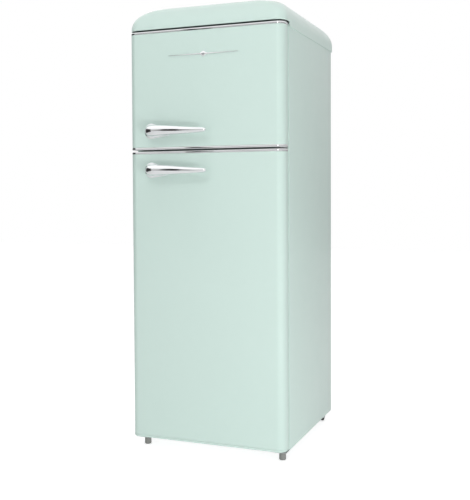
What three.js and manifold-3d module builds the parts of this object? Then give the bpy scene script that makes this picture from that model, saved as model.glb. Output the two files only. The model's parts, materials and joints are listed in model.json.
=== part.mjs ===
// Two-door refrigerator in the rounded style of the 1950s, freezer compartment on top, in millimetres.
// +Z is up. The origin is at floor level under the middle of the object. The doors face -Y and hinge
// on the +X side. Depths are counted backwards from the front face of the doors by behind().
import * as THREE from "three";
import { mergeVertices } from "three/addons/utils/BufferGeometryUtils.js";
import Module from "manifold-3d";

const wasm = await Module();
wasm.setup();

// ---- Driving dimensions ----

const totalHeight = 1473; // floor to the top of the cover
const coverHalfWidth = 272.5; // the cover overhangs the case a little on each side
const caseHalfWidth = 270;
const coverCorner = 34; // rounding of its front corners, seen from above
const bodyDepth = 585; // door face to the rear of the cover
const handleReach = 44; // the handles stand this far in front of the doors
const gap = 0.3; // running gap between pieces that touch
const sheet = 1; // steel sheet of the case and the doors
const plate = 1.2; // heavier sheet of the rails and the machine bay

const doorDepth = 49;
const caseFront = 55; // front of the case, behind the door face
const frontFlange = 38; // of the side panels
const caseRear = 571; // rear edge of the side panels
const caseBottom = 36;
const caseTop = 1390;
const foamFront = 57.6;
const foamRear = 568.1;

const betweenDoors = 1000; // middle of the gap between the doors
const doorGap = 5;
const fridgeDoorSpan = [41, betweenDoors - doorGap / 2]; // lowest and highest point of each door
const freezerDoorSpan = [betweenDoors + doorGap / 2, 1392];
const doorFrontRadius = 26; // rounding of the long front edges
const doorBackRadius = 8;
const capHeight = 8; // bright end caps of the doors
const capProud = 0.6; // how far the caps stand out from the door skin
const dykeWidth = 22; // raised rim inside each door
const returnEdge = caseHalfWidth - 14; // where the skin of a door ends behind each side
const doorLinerWall = 2.5;

const hingeInset = 14; // hinge axis to the side and to the back of the door
const hingeX = caseHalfWidth - hingeInset;
const hingeDepth = doorDepth - hingeInset;
const pinRadius = 4;

const freezer = { halfWidth: 215, floor: 1035, ceiling: 1345, back: 505 };
const fridge = { halfWidth: 225, floor: 85, ceiling: 955, back: 515, stepFront: 350, stepTop: 302 };
const linerWall = 2;
const linerRim = 16;
const bay = { front: 388, ceiling: 263.2 }; // machine bay behind and under the food compartment

const footPlace = { x: 243, depth: 63 };
const rollerPlace = { x: 240, depth: 545, radius: 18 };
const handleRise = { freezer: 64, fridge: -64.5 }; // handle axis from the middle of the gap
const handleSink = 2.5; // the tip of a grip lies this much lower than its root

const front = handleReach - (bodyDepth + handleReach) / 2;
const behind = (depth) => front + depth;

// ---- Colours ----

const paint = (color, roughness, metalness = 0) =>
  new THREE.MeshStandardMaterial({ color, roughness, metalness });
const enamel = paint(0xcbe2d9, 0.3);
const chrome = paint(0xd9dbdd, 0.12, 1);
const steel = paint(0xa8abab, 0.4, 1);
const zinc = paint(0xc9cbc8, 0.45, 0.9);
const whitePlastic = paint(0xf2f4f3, 0.4);
const greyPlastic = paint(0x8f9290, 0.6);
const blackMetal = paint(0x17181a, 0.45, 0.5);
const blackRubber = paint(0x1b1c1d, 0.8);
const greyRubber = paint(0xd0d3d2, 0.7);
const copper = paint(0xb4744a, 0.35, 1);
const foam = paint(0xe6d9a8, 0.95);
const glass = paint(0xdcebe6, 0.05);
const clearPlastic = paint(0xe4eeee, 0.2);

// ---- Shape helpers ----

// A box between two corners; depths are counted behind the door face.
function slab(x0, x1, depth0, depth1, z0, z1) {
  const box = new THREE.BoxGeometry(x1 - x0, depth1 - depth0, z1 - z0);
  return box.translate((x0 + x1) / 2, behind((depth0 + depth1) / 2), (z0 + z1) / 2);
}

const solidCylinder = (radius, length, sides) =>
  new THREE.CylinderGeometry(radius, radius, length, sides);

function cylinderZ(x, depth, radius, z0, z1, sides = 16) {
  const post = solidCylinder(radius, z1 - z0, sides).rotateX(Math.PI / 2);
  return post.translate(x, behind(depth), (z0 + z1) / 2);
}

function cylinderY(x, z, radius, depth0, depth1, sides = 16) {
  return solidCylinder(radius, depth1 - depth0, sides).translate(x, behind((depth0 + depth1) / 2), z);
}

function cylinderX(depth, z, radius, x0, x1, sides = 16) {
  const rod = solidCylinder(radius, x1 - x0, sides).rotateZ(Math.PI / 2);
  return rod.translate((x0 + x1) / 2, behind(depth), z);
}

// A rounded rectangle; radii run round from the corner (u0, v0).
function roundedOutline(u0, u1, v0, v1, radii) {
  const [a, b, c, d] = Array.isArray(radii) ? radii : [radii, radii, radii, radii];
  const shape = new THREE.Shape();
  shape.absarc(u0 + a, v0 + a, a, Math.PI, 1.5 * Math.PI);
  shape.absarc(u1 - b, v0 + b, b, 1.5 * Math.PI, 2 * Math.PI);
  shape.absarc(u1 - c, v1 - c, c, 0, 0.5 * Math.PI);
  shape.absarc(u0 + d, v1 - d, d, 0.5 * Math.PI, Math.PI);
  return shape;
}

const outlineOf = (points) => new THREE.Shape(points.map(([u, v]) => new THREE.Vector2(u, v)));

const extruded = (shape, depth, curveSegments) =>
  new THREE.ExtrudeGeometry(shape, { depth, bevelEnabled: false, curveSegments });

// An outline in X and Y, drawn upwards.
const alongZ = (shape, z0, z1, curveSegments = 5) =>
  extruded(shape, z1 - z0, curveSegments).translate(0, 0, z0);

// An outline in X and Z, drawn backwards.
const alongY = (shape, depth0, depth1, curveSegments = 4) =>
  extruded(shape, depth1 - depth0, curveSegments).rotateX(Math.PI / 2).translate(0, behind(depth1), 0);

// An outline in depth and Z, drawn to the right.
function alongX(points, x0, x1) {
  const shape = outlineOf(points.map(([depth, z]) => [behind(depth), z]));
  const turn = new THREE.Matrix4().makeBasis(
    new THREE.Vector3(0, 1, 0),
    new THREE.Vector3(0, 0, 1),
    new THREE.Vector3(1, 0, 0),
  );
  return extruded(shape, x1 - x0, 1).applyMatrix4(turn).translate(x0, 0, 0);
}

// A skin over rings of points, closed by a flat face at each end. Each ring runs anticlockwise as seen
// from the far end of the stack.
function loft(rings) {
  const count = rings[0].length;
  const index = [];
  for (let ring = 0; ring + 1 < rings.length; ring++)
    for (let i = 0; i < count; i++) {
      const here = ring * count + i;
      const beside = ring * count + ((i + 1) % count);
      index.push(here, beside, beside + count, here, beside + count, here + count);
    }
  const last = (rings.length - 1) * count;
  for (let i = 1; i + 1 < count; i++) {
    index.push(0, i + 1, i);
    index.push(last, last + i, last + i + 1);
  }
  return new THREE.BufferGeometry().setFromPoints(rings.flat()).setIndex(index);
}

// A solid of revolution about a vertical axis from [radius, height] pairs, listed upwards.
function turned(profile, segments = 20) {
  const points = profile.map(([radius, height]) => new THREE.Vector2(radius, height));
  return new THREE.LatheGeometry(points, segments).rotateX(Math.PI / 2);
}

// A route that a tube follows, with one ring of the tube at each of its points.
class Route extends THREE.Curve {
  constructor(points) {
    super();
    this.points = points;
  }
  getPoint(t) {
    return this.getPointAt(t);
  }
  getPointAt(u) {
    return this.points[Math.round(u * (this.points.length - 1))].clone();
  }
  getTangentAt(u) {
    const last = this.points.length - 1;
    const here = Math.round(u * last);
    const before = this.points[Math.max(here - 1, 0)];
    const after = this.points[Math.min(here + 1, last)];
    const into = this.points[here].clone().sub(before).normalize();
    const out = after.clone().sub(this.points[here]).normalize();
    return into.add(out).normalize();
  }
}

function polygon(radius, sides) {
  const corner = (i) => [
    radius * Math.cos((2 * Math.PI * i) / sides),
    radius * Math.sin((2 * Math.PI * i) / sides),
  ];
  return outlineOf(Array.from({ length: sides }, (_, i) => corner(i)));
}

// A pipe through [x, depth, z] places, solid or with a bore.
function pipe(places, radius, sides = 6, boreRadius = 0) {
  const points = places.map(([x, depth, z]) => new THREE.Vector3(x, behind(depth), z));
  const section = polygon(radius, sides);
  if (boreRadius) section.holes.push(polygon(boreRadius, sides));
  const options = { steps: points.length - 1, extrudePath: new Route(points), bevelEnabled: false };
  return new THREE.ExtrudeGeometry(section, options);
}

function toSolid(geometry) {
  const loose = geometry.index ? geometry.toNonIndexed() : geometry;
  const bare = new THREE.BufferGeometry().setAttribute("position", loose.getAttribute("position"));
  const merged = mergeVertices(bare, 1e-3);
  const vertProperties = merged.getAttribute("position").array;
  const triVerts = new Uint32Array(merged.index.array);
  return new wasm.Manifold(new wasm.Mesh({ numProp: 3, vertProperties, triVerts }));
}

function toGeometry(solid) {
  const { vertProperties, triVerts } = solid.getMesh();
  const geometry = new THREE.BufferGeometry();
  geometry.setAttribute("position", new THREE.BufferAttribute(new Float32Array(vertProperties), 3));
  return geometry.setIndex(new THREE.BufferAttribute(new Uint32Array(triVerts), 1));
}

const joined = (...pieces) =>
  toGeometry(pieces.map(toSolid).reduce((whole, piece) => whole.add(piece)));
const cut = (body, ...tools) =>
  toGeometry(tools.map(toSolid).reduce((rest, tool) => rest.subtract(tool), toSolid(body)));
const common = (first, second) => toGeometry(toSolid(first).intersect(toSolid(second)));

// A frame in X and Z with a plain opening.
function frame(x0, x1, z0, z1, width, depth0, depth1) {
  const outer = slab(x0, x1, depth0, depth1, z0, z1);
  return cut(outer, slab(x0 + width, x1 - width, depth0 - 1, depth1 + 1, z0 + width, z1 - width));
}

// A tray open at the top.
function tray(x0, x1, depth0, depth1, z0, z1, wall) {
  const outer = slab(x0, x1, depth0, depth1, z0, z1);
  return cut(outer, slab(x0 + wall, x1 - wall, depth0 + wall, depth1 - wall, z0 + wall, z1 + 1));
}

const group = new THREE.Group();

function add(name, geometry, material) {
  const mesh = new THREE.Mesh(geometry, material);
  mesh.name = name;
  group.add(mesh);
}

// ---- Outer case ----

// Folded steel side with a flange at the front and a narrow one at the rear.
function sidePanel(side) {
  const rearFlange = 14;
  const outline = [
    [caseHalfWidth - frontFlange, caseFront],
    [caseHalfWidth, caseFront],
    [caseHalfWidth, caseRear],
    [caseHalfWidth - rearFlange, caseRear],
    [caseHalfWidth - rearFlange, caseRear - sheet],
    [caseHalfWidth - sheet, caseRear - sheet],
    [caseHalfWidth - sheet, caseFront + sheet],
    [caseHalfWidth - frontFlange, caseFront + sheet],
  ];
  return alongZ(outlineOf(outline.map(([x, depth]) => [side * x, behind(depth)])), caseBottom, caseTop);
}
add("side_panel_left", sidePanel(-1), enamel);
add("side_panel_right", sidePanel(1), enamel);

const insideHalf = caseHalfWidth - sheet - gap; // anything that fits between the side panels
const railHalf = caseHalfWidth - frontFlange - gap; // anything that fits between their front flanges

// Top sheet of the case with the upper front rail folded down from it.
function topPanel() {
  const railBottom = freezer.ceiling + linerRim + gap;
  const rail = slab(-railHalf, railHalf, caseFront, caseFront + plate, railBottom, caseTop);
  const frontStrip = slab(-railHalf, railHalf, caseFront, caseFront + 3, caseTop - sheet, caseTop);
  const top = slab(-insideHalf, insideHalf, caseFront + 2, foamRear + gap, caseTop - sheet, caseTop);
  return joined(rail, frontStrip, top);
}
add("top_panel", topPanel(), enamel);

// Channel across the case between the two compartments.
const railDepth = 14;
function centreRail() {
  const bottom = fridge.ceiling + linerRim + gap;
  const top = freezer.floor - linerRim - gap;
  const profile = [
    [caseFront, bottom],
    [caseFront + railDepth, bottom],
    [caseFront + railDepth, bottom + plate],
    [caseFront + plate, bottom + plate],
    [caseFront + plate, top - plate],
    [caseFront + railDepth, top - plate],
    [caseFront + railDepth, top],
    [caseFront, top],
  ];
  return alongX(profile, -railHalf, railHalf);
}
add("centre_rail", centreRail(), enamel);

// Front rail and floor sheet under the case, with a hole over each front foot.
function basePan() {
  const bottom = 37;
  const railTop = fridge.floor - linerRim - gap;
  const rail = slab(-railHalf, railHalf, caseFront, caseFront + plate, bottom, railTop);
  const frontStrip = slab(-railHalf, railHalf, caseFront, caseFront + 3, bottom, bottom + plate);
  const floor = slab(-insideHalf, insideHalf, caseFront + 2, bay.front - gap, bottom, bottom + plate);
  const holes = [-1, 1].map((side) => cylinderZ(side * footPlace.x, footPlace.depth, 6, 30, 45));
  return cut(joined(rail, frontStrip, floor), ...holes);
}
add("base_pan", basePan(), zinc);

// Rear sheet over the insulation, above the machine bay.
const backPanelRise = [264, 1388];
add("back_panel",
  slab(-insideHalf, insideHalf, foamRear + gap, caseRear - sheet - gap, ...backPanelRise), zinc);

// ---- Rounded top cover ----

// A rounded rectangle of points at one height, with the radius of its front and its rear corners.
function coverRing(inset, z, frontRadius, rearRadius) {
  const halfWidth = coverHalfWidth - inset.side;
  const y0 = behind(inset.front);
  const y1 = behind(bodyDepth - inset.rear);
  const radii = [frontRadius, frontRadius, rearRadius, rearRadius];
  const outline = roundedOutline(-halfWidth, halfWidth, y0, y1, radii);
  const cornerSteps = 5;
  return outline.curves
    .flatMap((arc) => arc.getPoints(cornerSteps))
    .map((point) => new THREE.Vector3(point.x, point.y, z));
}

// The domed form of the cover, shrunk by its wall for the hollow inside.
function coverDome(wall, bottom) {
  const roll = { side: 70, front: 60, rear: 70 };
  const straightTop = totalHeight - roll.side;
  const corner = { front: coverCorner - wall, rear: 10 - wall };
  const wallInset = { side: wall, front: wall, rear: wall };
  const rings = [coverRing(wallInset, bottom, corner.front, corner.rear)];
  const steps = 6;
  for (let i = 0; i <= steps; i++) {
    const angle = (Math.PI / 2) * (i / steps);
    const inward = 1 - Math.cos(angle);
    const inset = {
      side: wall + (roll.side - wall) * inward,
      front: wall + (roll.front - wall) * inward,
      rear: wall + (roll.rear - wall) * inward,
    };
    const z = straightTop + (roll.side - wall) * Math.sin(angle);
    const spread = 50 * inward;
    rings.push(coverRing(inset, z, corner.front + spread, corner.rear + spread));
  }
  return loft(rings);
}

function topCover() {
  const wall = 2.2;
  const sideLip = 1383;
  const frontLip = 1397;
  const shell = cut(coverDome(0, sideLip), coverDome(wall, sideLip - 10));
  return cut(shell, slab(-300, 300, -10, caseFront + gap, sideLip - 5, frontLip));
}
add("top_cover", topCover(), enamel);

// ---- Insulation and compartment liners ----

// The compartment as a solid: its side outline crossed with rounded corners seen from the front.
function compartment(room, grow, mouth) {
  const floor = room.floor - grow;
  const ceiling = room.ceiling + grow;
  const back = room.back + grow;
  const profile = [
    [mouth, floor],
    ...(room.stepTop
      ? [
          [room.stepFront + grow, floor],
          [room.stepFront + grow, room.stepTop - grow],
          [back, room.stepTop - grow],
        ]
      : [[back, floor]]),
    [back, ceiling],
    [mouth, ceiling],
  ];
  const halfWidth = room.halfWidth + grow;
  const mouthOutline = roundedOutline(-halfWidth, halfWidth, floor, ceiling, 14 + grow);
  return common(alongX(profile, -halfWidth, halfWidth), alongY(mouthOutline, mouth - 1, back + 1));
}

// Thin moulded liner with a rim at its mouth and a rib along each side for every shelf.
function liner(room, shelfRibs) {
  const rimFront = caseFront + gap;
  const halfRim = room.halfWidth + linerRim;
  const halfWide = Math.min(halfRim, railHalf);
  const rim = slab(-halfWide, halfWide, rimFront, rimFront + linerWall, room.floor - linerRim,
    room.ceiling + linerRim);
  const shell = joined(compartment(room, linerWall, rimFront), rim);
  const hollow = cut(shell, compartment(room, 0, caseFront - 5));
  const ribs = shelfRibs.flatMap(({ z, from, to }) =>
    [-1, 1].map((side) => {
      const inner = side * (room.halfWidth - 10);
      const outer = side * (room.halfWidth + 1);
      return slab(Math.min(inner, outer), Math.max(inner, outer), from, to, z - 9, z);
    }),
  );
  return joined(hollow, ...ribs);
}
const wireShelfHeight = 1180;
const shelfHeights = { upper: 700, lower: 480 };
add("freezer_liner", liner(freezer, [{ z: wireShelfHeight - 3, from: 110, to: 503 }]), whitePlastic);
add(
  "fridge_liner",
  liner(fridge, [
    { z: shelfHeights.upper - gap, from: 166, to: 512 },
    { z: shelfHeights.lower - gap, from: 166, to: 512 },
    { z: fridge.stepTop + 3 - gap, from: 145, to: 348 },
  ]),
  whitePlastic,
);

// Plate evaporator foamed in behind the freezer liner.
const evaporator = { halfWidth: 180, z: [1060, 1320], depth: [507.3, 510.3] };
add("evaporator_plate",
  slab(-evaporator.halfWidth, evaporator.halfWidth, ...evaporator.depth, ...evaporator.z),
  paint(0xb9bcbd, 0.35, 1));

// Foam body of the case: a block with the two compartments, the machine bay and small pockets cut out.
function caseFoam() {
  const block = slab(-insideHalf, insideHalf, foamFront, foamRear, 38.5, caseTop - sheet - gap);
  const bayCut = slab(-300, 300, bay.front - gap, 600, 30, bay.ceiling + gap);
  const evaporatorPocket = slab(-evaporator.halfWidth - gap, evaporator.halfWidth + gap, 500,
    evaporator.depth[1] + gap, evaporator.z[0] - gap, evaporator.z[1] + gap);
  const railPocket = slab(-railHalf - 1, railHalf + 1, 50, caseFront + railDepth + gap,
    fridge.ceiling + linerRim, freezer.floor - linerRim);
  const drainPocket = slab(33, 47, 516, 541, 250, 340);
  const footPockets = [-1, 1].map((side) =>
    cylinderZ(side * footPlace.x, footPlace.depth, 7, 30, 75));
  return cut(
    block,
    compartment(freezer, linerWall + gap, 50),
    compartment(fridge, linerWall + gap, 50),
    bayCut,
    evaporatorPocket,
    railPocket,
    drainPocket,
    ...footPockets,
  );
}
add("case_foam", caseFoam(), foam);

// Defrost water runs from the back of the food compartment to the tray over the compressor.
const drainRoute = [
  [40, 519, 330],
  [40, 525, 328],
  [40, 531, 321],
  [40, 533, 312],
  [40, 533, 246],
];
add("drain_tube", pipe(drainRoute, 5, 8, 3.5), greyPlastic);

// ---- Machine bay ----

// Bent sheet that forms the front wall and the ceiling of the bay.
function bayWall() {
  const wall = slab(-insideHalf, insideHalf, bay.front, bay.front + plate, 40.5, bay.ceiling);
  const ceiling = slab(-insideHalf, insideHalf, bay.front, foamRear, bay.ceiling - plate, bay.ceiling);
  return cut(joined(wall, ceiling), cylinderZ(40, 533, 6, bay.ceiling - 5, bay.ceiling + 5));
}
add("machine_bay_wall", bayWall(), zinc);

// Base plate of the bay with the roller ears and their pins, and the tab that holds the cord gland.
const gland = { x: -150, z: 78 };
function basePlate() {
  const pieces = [slab(-insideHalf, insideHalf, bay.front + 1.6, 569.5, 38, 40)];
  for (const side of [-1, 1]) {
    for (const offset of [-10, 10]) {
      const x = side * rollerPlace.x + offset;
      pieces.push(slab(x - 1, x + 1, rollerPlace.depth - 11, rollerPlace.depth + 11, 11, 39));
    }
    const x = side * rollerPlace.x;
    pieces.push(cylinderX(rollerPlace.depth, rollerPlace.radius, pinRadius, x - 10, x + 10, 12));
  }
  pieces.push(slab(gland.x - 16, gland.x + 16, 560, 562, 39, gland.z + 16));
  return cut(joined(...pieces), cylinderY(gland.x, gland.z, 7, 555, 565));
}
add("compressor_base_plate", basePlate(), zinc);

// Oval welded can of the compressor with its foot plate.
const compressorPlace = { x: 60, depth: 480, z: 46 };
function compressor() {
  const profile = [
    [0, 0],
    [46, 0],
    [56, 9],
    [60, 40],
    [60, 77],
    [64, 79],
    [64, 85],
    [60, 87],
    [58, 120],
    [48, 146],
    [28, 158],
    [0, 162],
  ];
  const can = turned(profile, 24).scale(1.28, 1, 1);
  can.translate(compressorPlace.x, behind(compressorPlace.depth), compressorPlace.z);
  const { x, depth, z } = compressorPlace;
  return joined(can, slab(x - 100, x + 100, depth - 34, depth + 34, z - 3, z + 1));
}
add("compressor", compressor(), blackMetal);
add("start_relay_cover", joined(slab(-64, -23, 450, 510, 88, 150), slab(-58, -30, 456, 504, 150, 156)),
  blackMetal);
add("evaporation_tray", tray(-20, 140, 440, 542, 208.5, 236, 2), greyPlastic);

// Serpentine of the rear condenser, with the tail that starts at the compressor and the one that ends
// at the filter drier.
const condenser = { depth: 577.5, halfWidth: 178, bend: 31, passes: 13, bottom: 316, tube: 2.5 };
function condenserRoute() {
  const { depth, halfWidth, bend, passes, bottom } = condenser;
  const places = [
    [60, 541.5, 140],
    [60, 560, 141],
    [62, 571, 148],
    [66, 576, 160],
    [72, depth, 176],
    [100, depth, 260],
    [112, depth, 283],
    [128, depth, 300],
    [152, depth, 311],
  ];
  for (let pass = 0; pass < passes; pass++) {
    const z = bottom + 2 * bend * pass;
    const side = pass % 2 ? -1 : 1;
    if (pass) places.push([-side * halfWidth, depth, z]);
    places.push([side * halfWidth, depth, z]);
    const bendSteps = 5;
    for (let i = 1; pass + 1 < passes && i < bendSteps; i++) {
      const angle = (Math.PI * i) / bendSteps;
      places.push([side * (halfWidth + bend * Math.sin(angle)), depth, z + bend * (1 - Math.cos(angle))]);
    }
  }
  const top = bottom + 2 * bend * (passes - 1);
  const tail = halfWidth + bend + 12;
  places.push([tail - 18, depth, top - 2], [tail - 6, depth, top - 10], [tail, depth, top - 26]);
  places.push([tail, depth, 270], [tail - 4, depth - 6, 252], [tail - 20, 560, 240], [tail - 30, 545, 232]);
  return places;
}
add("condenser_coil", pipe(condenserRoute(), condenser.tube), blackMetal);

// Copper filter drier at the end of the condenser.
function filterDrier() {
  const profile = [
    [0, 0],
    [2, 0],
    [2.2, 18],
    [9, 26],
    [9, 92],
    [2.6, 100],
    [2.6, 108],
    [0, 108],
  ];
  return turned(profile, 14).translate(191, behind(539), 118);
}
add("filter_drier", filterDrier(), copper);

// Suction line from the case down to the compressor.
const suctionRoute = [
  [204, 430, 261],
  [204, 430, 196],
  [202, 434, 180],
  [194, 442, 166],
  [182, 452, 156],
  [168, 462, 151],
  [142, 474, 150],
];
add("suction_pipe", pipe(suctionRoute, 3.5, 8), copper);

// Gland that the supply lead would leave by.
function cordGland() {
  const body = joined(
    cylinderY(gland.x, gland.z, 6.6, 556, 568, 14),
    cylinderY(gland.x, gland.z, 10, 562.3, 567, 14),
    cylinderY(gland.x, gland.z, 9, 556, 559.7, 14),
  );
  return cut(body, cylinderY(gland.x, gland.z, 3.6, 552, 572, 12));
}
add("cord_gland", cordGland(), blackRubber);

// ---- Hinges and foot brackets ----

const pinUp = (z0, z1) => cylinderZ(hingeX, hingeDepth, pinRadius, z0, z1);
const bracketX = [hingeX - 20, hingeX + 11];

function topHinge() {
  const underside = 1394.3;
  const tongue = slab(...bracketX, hingeDepth - 10, 95, underside, underside + 3);
  const spacer = slab(...bracketX, 60, 95, caseTop + gap, underside + 0.7);
  return joined(tongue, spacer, pinUp(freezerDoorSpan[1] - 13, underside + 0.7));
}
add("hinge_top_bracket", topHinge(), steel);

// Tongue between the doors with a flange against the case.
function middleHinge() {
  const back = caseFront - gap;
  const half = 1.25; // of the thickness of the tongue
  const reach = 13; // of the flange and the pins, up and down
  const tongue = slab(...bracketX, hingeDepth - 10, back, betweenDoors - half, betweenDoors + half);
  const flange = slab(bracketX[0], hingeX + 8, back - 1, back, betweenDoors - reach, betweenDoors + reach);
  return joined(tongue, flange, pinUp(fridgeDoorSpan[1] - reach, freezerDoorSpan[0] + reach));
}
add("hinge_middle_bracket", middleHinge(), steel);

// Plate under the front corner that a levelling foot screws through.
function footBracket(side) {
  const inner = side * 224;
  const outer = side * 267;
  const [x0, x1] = [Math.min(inner, outer), Math.max(inner, outer)];
  const shelf = slab(x0, x1, hingeDepth - 11, 110, 32.4, 35.4);
  const pad = slab(x0 + 4, x1 - 4, 62, 110, 35, 37 - gap);
  return cut(joined(shelf, pad), cylinderZ(side * footPlace.x, footPlace.depth, 4.8, 25, 45));
}

function bottomHinge() {
  const collar = cylinderZ(hingeX, hingeDepth, 7, 35, fridgeDoorSpan[0] - 0.6);
  return joined(footBracket(1), collar, pinUp(35, fridgeDoorSpan[0] + 13));
}
add("hinge_bottom_bracket", bottomHinge(), steel);
add("foot_bracket_left", footBracket(-1), steel);

// Foot pad with its hexagon and stud in one piece.
function levellingFoot(side) {
  const profile = [
    [0, 0],
    [9.5, 0],
    [11.5, 2],
    [11.5, 19],
    [10, 22.5],
    [0, 22.5],
  ];
  const pad = turned(profile, 20).translate(side * footPlace.x, behind(footPlace.depth), 0);
  const hexagon = cylinderZ(side * footPlace.x, footPlace.depth, 8.5, 22, 28.5, 6);
  const stud = cylinderZ(side * footPlace.x, footPlace.depth, 4.2, 28, 58, 12);
  return joined(pad, hexagon, stud);
}
add("levelling_foot_left", levellingFoot(-1), greyPlastic);
add("levelling_foot_right", levellingFoot(1), greyPlastic);

function roller(side) {
  const x = side * rollerPlace.x;
  const { depth, radius } = rollerPlace;
  const wheel = cylinderX(depth, radius, radius, x - 8, x + 8, 24);
  return cut(wheel, cylinderX(depth, radius, pinRadius + 0.4, x - 12, x + 12, 12));
}
add("rear_roller_left", roller(-1), blackRubber);
add("rear_roller_right", roller(1), blackRubber);

// ---- Doors ----

// Plan of a door, grown or shrunk all round; a negative growth leaves the back where it is asked.
function doorPlan(grow, back = doorDepth) {
  const side = caseHalfWidth + grow;
  const radii = [doorFrontRadius + grow, doorFrontRadius + grow, doorBackRadius, doorBackRadius];
  return roundedOutline(-side, side, behind(-grow), behind(back), radii);
}

// Steel shell: the front, both sides and a narrow return behind each side.
function doorSkin([bottom, top]) {
  const z = [bottom + capHeight + gap, top - capHeight - gap];
  const outer = alongZ(doorPlan(0), ...z, 6);
  const inner = alongZ(doorPlan(-sheet, doorDepth - sheet), z[0] - 1, z[1] + 1, 6);
  const half = returnEdge - sheet;
  const mouth = slab(-half, half, doorDepth - 5, doorDepth + 5, z[0] - 1, z[1] + 1);
  return cut(outer, inner, mouth);
}

// End cap: a rim round the door, a web, and a boss that turns on the hinge pin. up is 1 for the cap
// on top of a door and -1 for the one below it.
function doorCap(outerZ, up) {
  const innerZ = outerZ - up * capHeight;
  const webZ = outerZ - up * 2.5;
  const between = (a, b) => [Math.min(a, b), Math.max(a, b)];
  const block = alongZ(doorPlan(capProud), ...between(innerZ, outerZ), 6);
  const pocket = alongZ(doorPlan(-2, doorDepth - 2), ...between(innerZ - up, webZ), 6);
  const boss = cylinderZ(hingeX, hingeDepth, 9, ...between(outerZ - up * 14, outerZ - up));
  const hole = cylinderZ(hingeX, hingeDepth, pinRadius + 0.3, ...between(outerZ - up * 16, outerZ + up));
  return cut(joined(cut(block, pocket), boss), hole);
}

// The raised rim behind the door, as a ring that is solid all through.
function dykeRing({ x, z, reach }, shrink, from) {
  const outer = slab(x[0] + shrink, x[1] - shrink, from, reach - shrink, z[0] + shrink, z[1] - shrink);
  const width = dykeWidth - shrink;
  const middle = slab(x[0] + width, x[1] - width, from - 5, reach + 5, z[0] + width, z[1] - width);
  return cut(outer, middle);
}

function doorFoam([bottom, top], dyke) {
  const z = [bottom + capHeight + gap, top - capHeight - gap];
  const linerFront = doorDepth - doorLinerWall;
  const block = alongZ(doorPlan(-sheet - gap, linerFront - gap), ...z, 5);
  const ring = dykeRing(dyke, doorLinerWall + gap, linerFront - 2);
  const bosses = [bottom, top].map((end) => cylinderZ(hingeX, hingeDepth, 9.6, end - 16, end + 16));
  return cut(joined(block, ring), ...bosses);
}

function doorLiner([bottom, top], dyke) {
  const z = [bottom + capHeight + 1, top - capHeight - 1];
  const half = returnEdge - sheet - gap;
  const field = slab(-half, half, doorDepth - doorLinerWall, doorDepth, ...z);
  const shell = joined(field, dykeRing(dyke, 0, doorDepth - doorLinerWall + 0.1));
  return cut(shell, dykeRing(dyke, doorLinerWall, doorDepth - 10));
}

// Soft seal round the back of a door.
function gasket([bottom, top]) {
  const inset = 12;
  return frame(-250, 248, bottom + inset, top - inset, 16, doorDepth + gap, caseFront - gap);
}

// Oval rose behind the grip: two circles of different size under one band, domed forwards.
function handleRose(z) {
  const left = { x: -187, radius: 25 };
  const right = { x: -128, radius: 11 };
  const slope = Math.acos((left.radius - right.radius) / (right.x - left.x));
  const outline = new THREE.Shape();
  outline.absarc(left.x, 0, left.radius, slope, 2 * Math.PI - slope);
  outline.absarc(right.x, -5, right.radius, -slope, slope);
  const points = outline.curves.flatMap((arc, i) => arc.getPoints(i ? 4 : 12));
  const middle = -172;
  const layers = [
    { depth: -0.3, size: 1 },
    { depth: -3.5, size: 1 },
    { depth: -6.5, size: 0.9 },
    { depth: -7.5, size: 0.78 },
  ];
  return loft(
    layers.map(({ depth, size }) =>
      points.map((p) => new THREE.Vector3(middle + (p.x - middle) * size, behind(depth), z + p.y * size)),
    ),
  );
}

// Horn-shaped grip: it leaves the rose forwards, bends to the right, tapers and sinks a little to a
// round tip.
function handleGrip(z) {
  const sections = [
    { x: -186, depth: -7.8, turn: 0, thick: 19, tall: 18.5 },
    { x: -185, depth: -14, turn: 8, thick: 18.5, tall: 18.5 },
    { x: -181, depth: -21, turn: 32, thick: 17, tall: 18.2 },
    { x: -173, depth: -27, turn: 56, thick: 15, tall: 18 },
    { x: -161, depth: -31, turn: 76, thick: 13, tall: 17.6 },
    { x: -145, depth: -32, turn: 90, thick: 12, tall: 17 },
    { x: -110, depth: -32.5, turn: 90, thick: 11, tall: 15.3 },
    { x: -70, depth: -33, turn: 90, thick: 10, tall: 13 },
    { x: -30, depth: -33, turn: 90, thick: 9, tall: 10.6 },
    { x: 0, depth: -33, turn: 90, thick: 8, tall: 8.8 },
    { x: 13, depth: -33, turn: 90, thick: 6.8, tall: 7.4 },
    { x: 19, depth: -33, turn: 90, thick: 4.6, tall: 5 },
    { x: 22, depth: -33, turn: 90, thick: 1.2, tall: 1.3 },
  ];
  const sides = 14;
  const sinks = { from: -150, to: -10 };
  return loft(
    sections.map(({ x, depth, turn, thick, tall }) => {
      const angle = THREE.MathUtils.degToRad(turn);
      const centre = z - handleSink * THREE.MathUtils.smoothstep(x, sinks.from, sinks.to);
      return Array.from({ length: sides }, (_, i) => {
        const round = (2 * Math.PI * i) / sides;
        const across = thick * Math.cos(round);
        return new THREE.Vector3(
          x + across * Math.cos(angle),
          behind(depth) + across * Math.sin(angle),
          centre + tall * Math.sin(round),
        );
      });
    }),
  );
}

function door(name, span, dyke, handleZ, lowerCapPaint) {
  add(`${name}_door_skin`, doorSkin(span), enamel);
  add(`${name}_door_foam`, doorFoam(span, dyke), foam);
  add(`${name}_door_liner`, doorLiner(span, dyke), whitePlastic);
  add(`${name}_door_gasket`, gasket(span), greyRubber);
  add(`${name}_door_cap_top`, doorCap(span[1], 1), chrome);
  add(`${name}_door_cap_bottom`, doorCap(span[0], -1), lowerCapPaint);
  add(`${name}_handle_rose`, handleRose(handleZ), chrome);
  add(`${name}_handle_grip`, handleGrip(handleZ), chrome);
}

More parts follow.
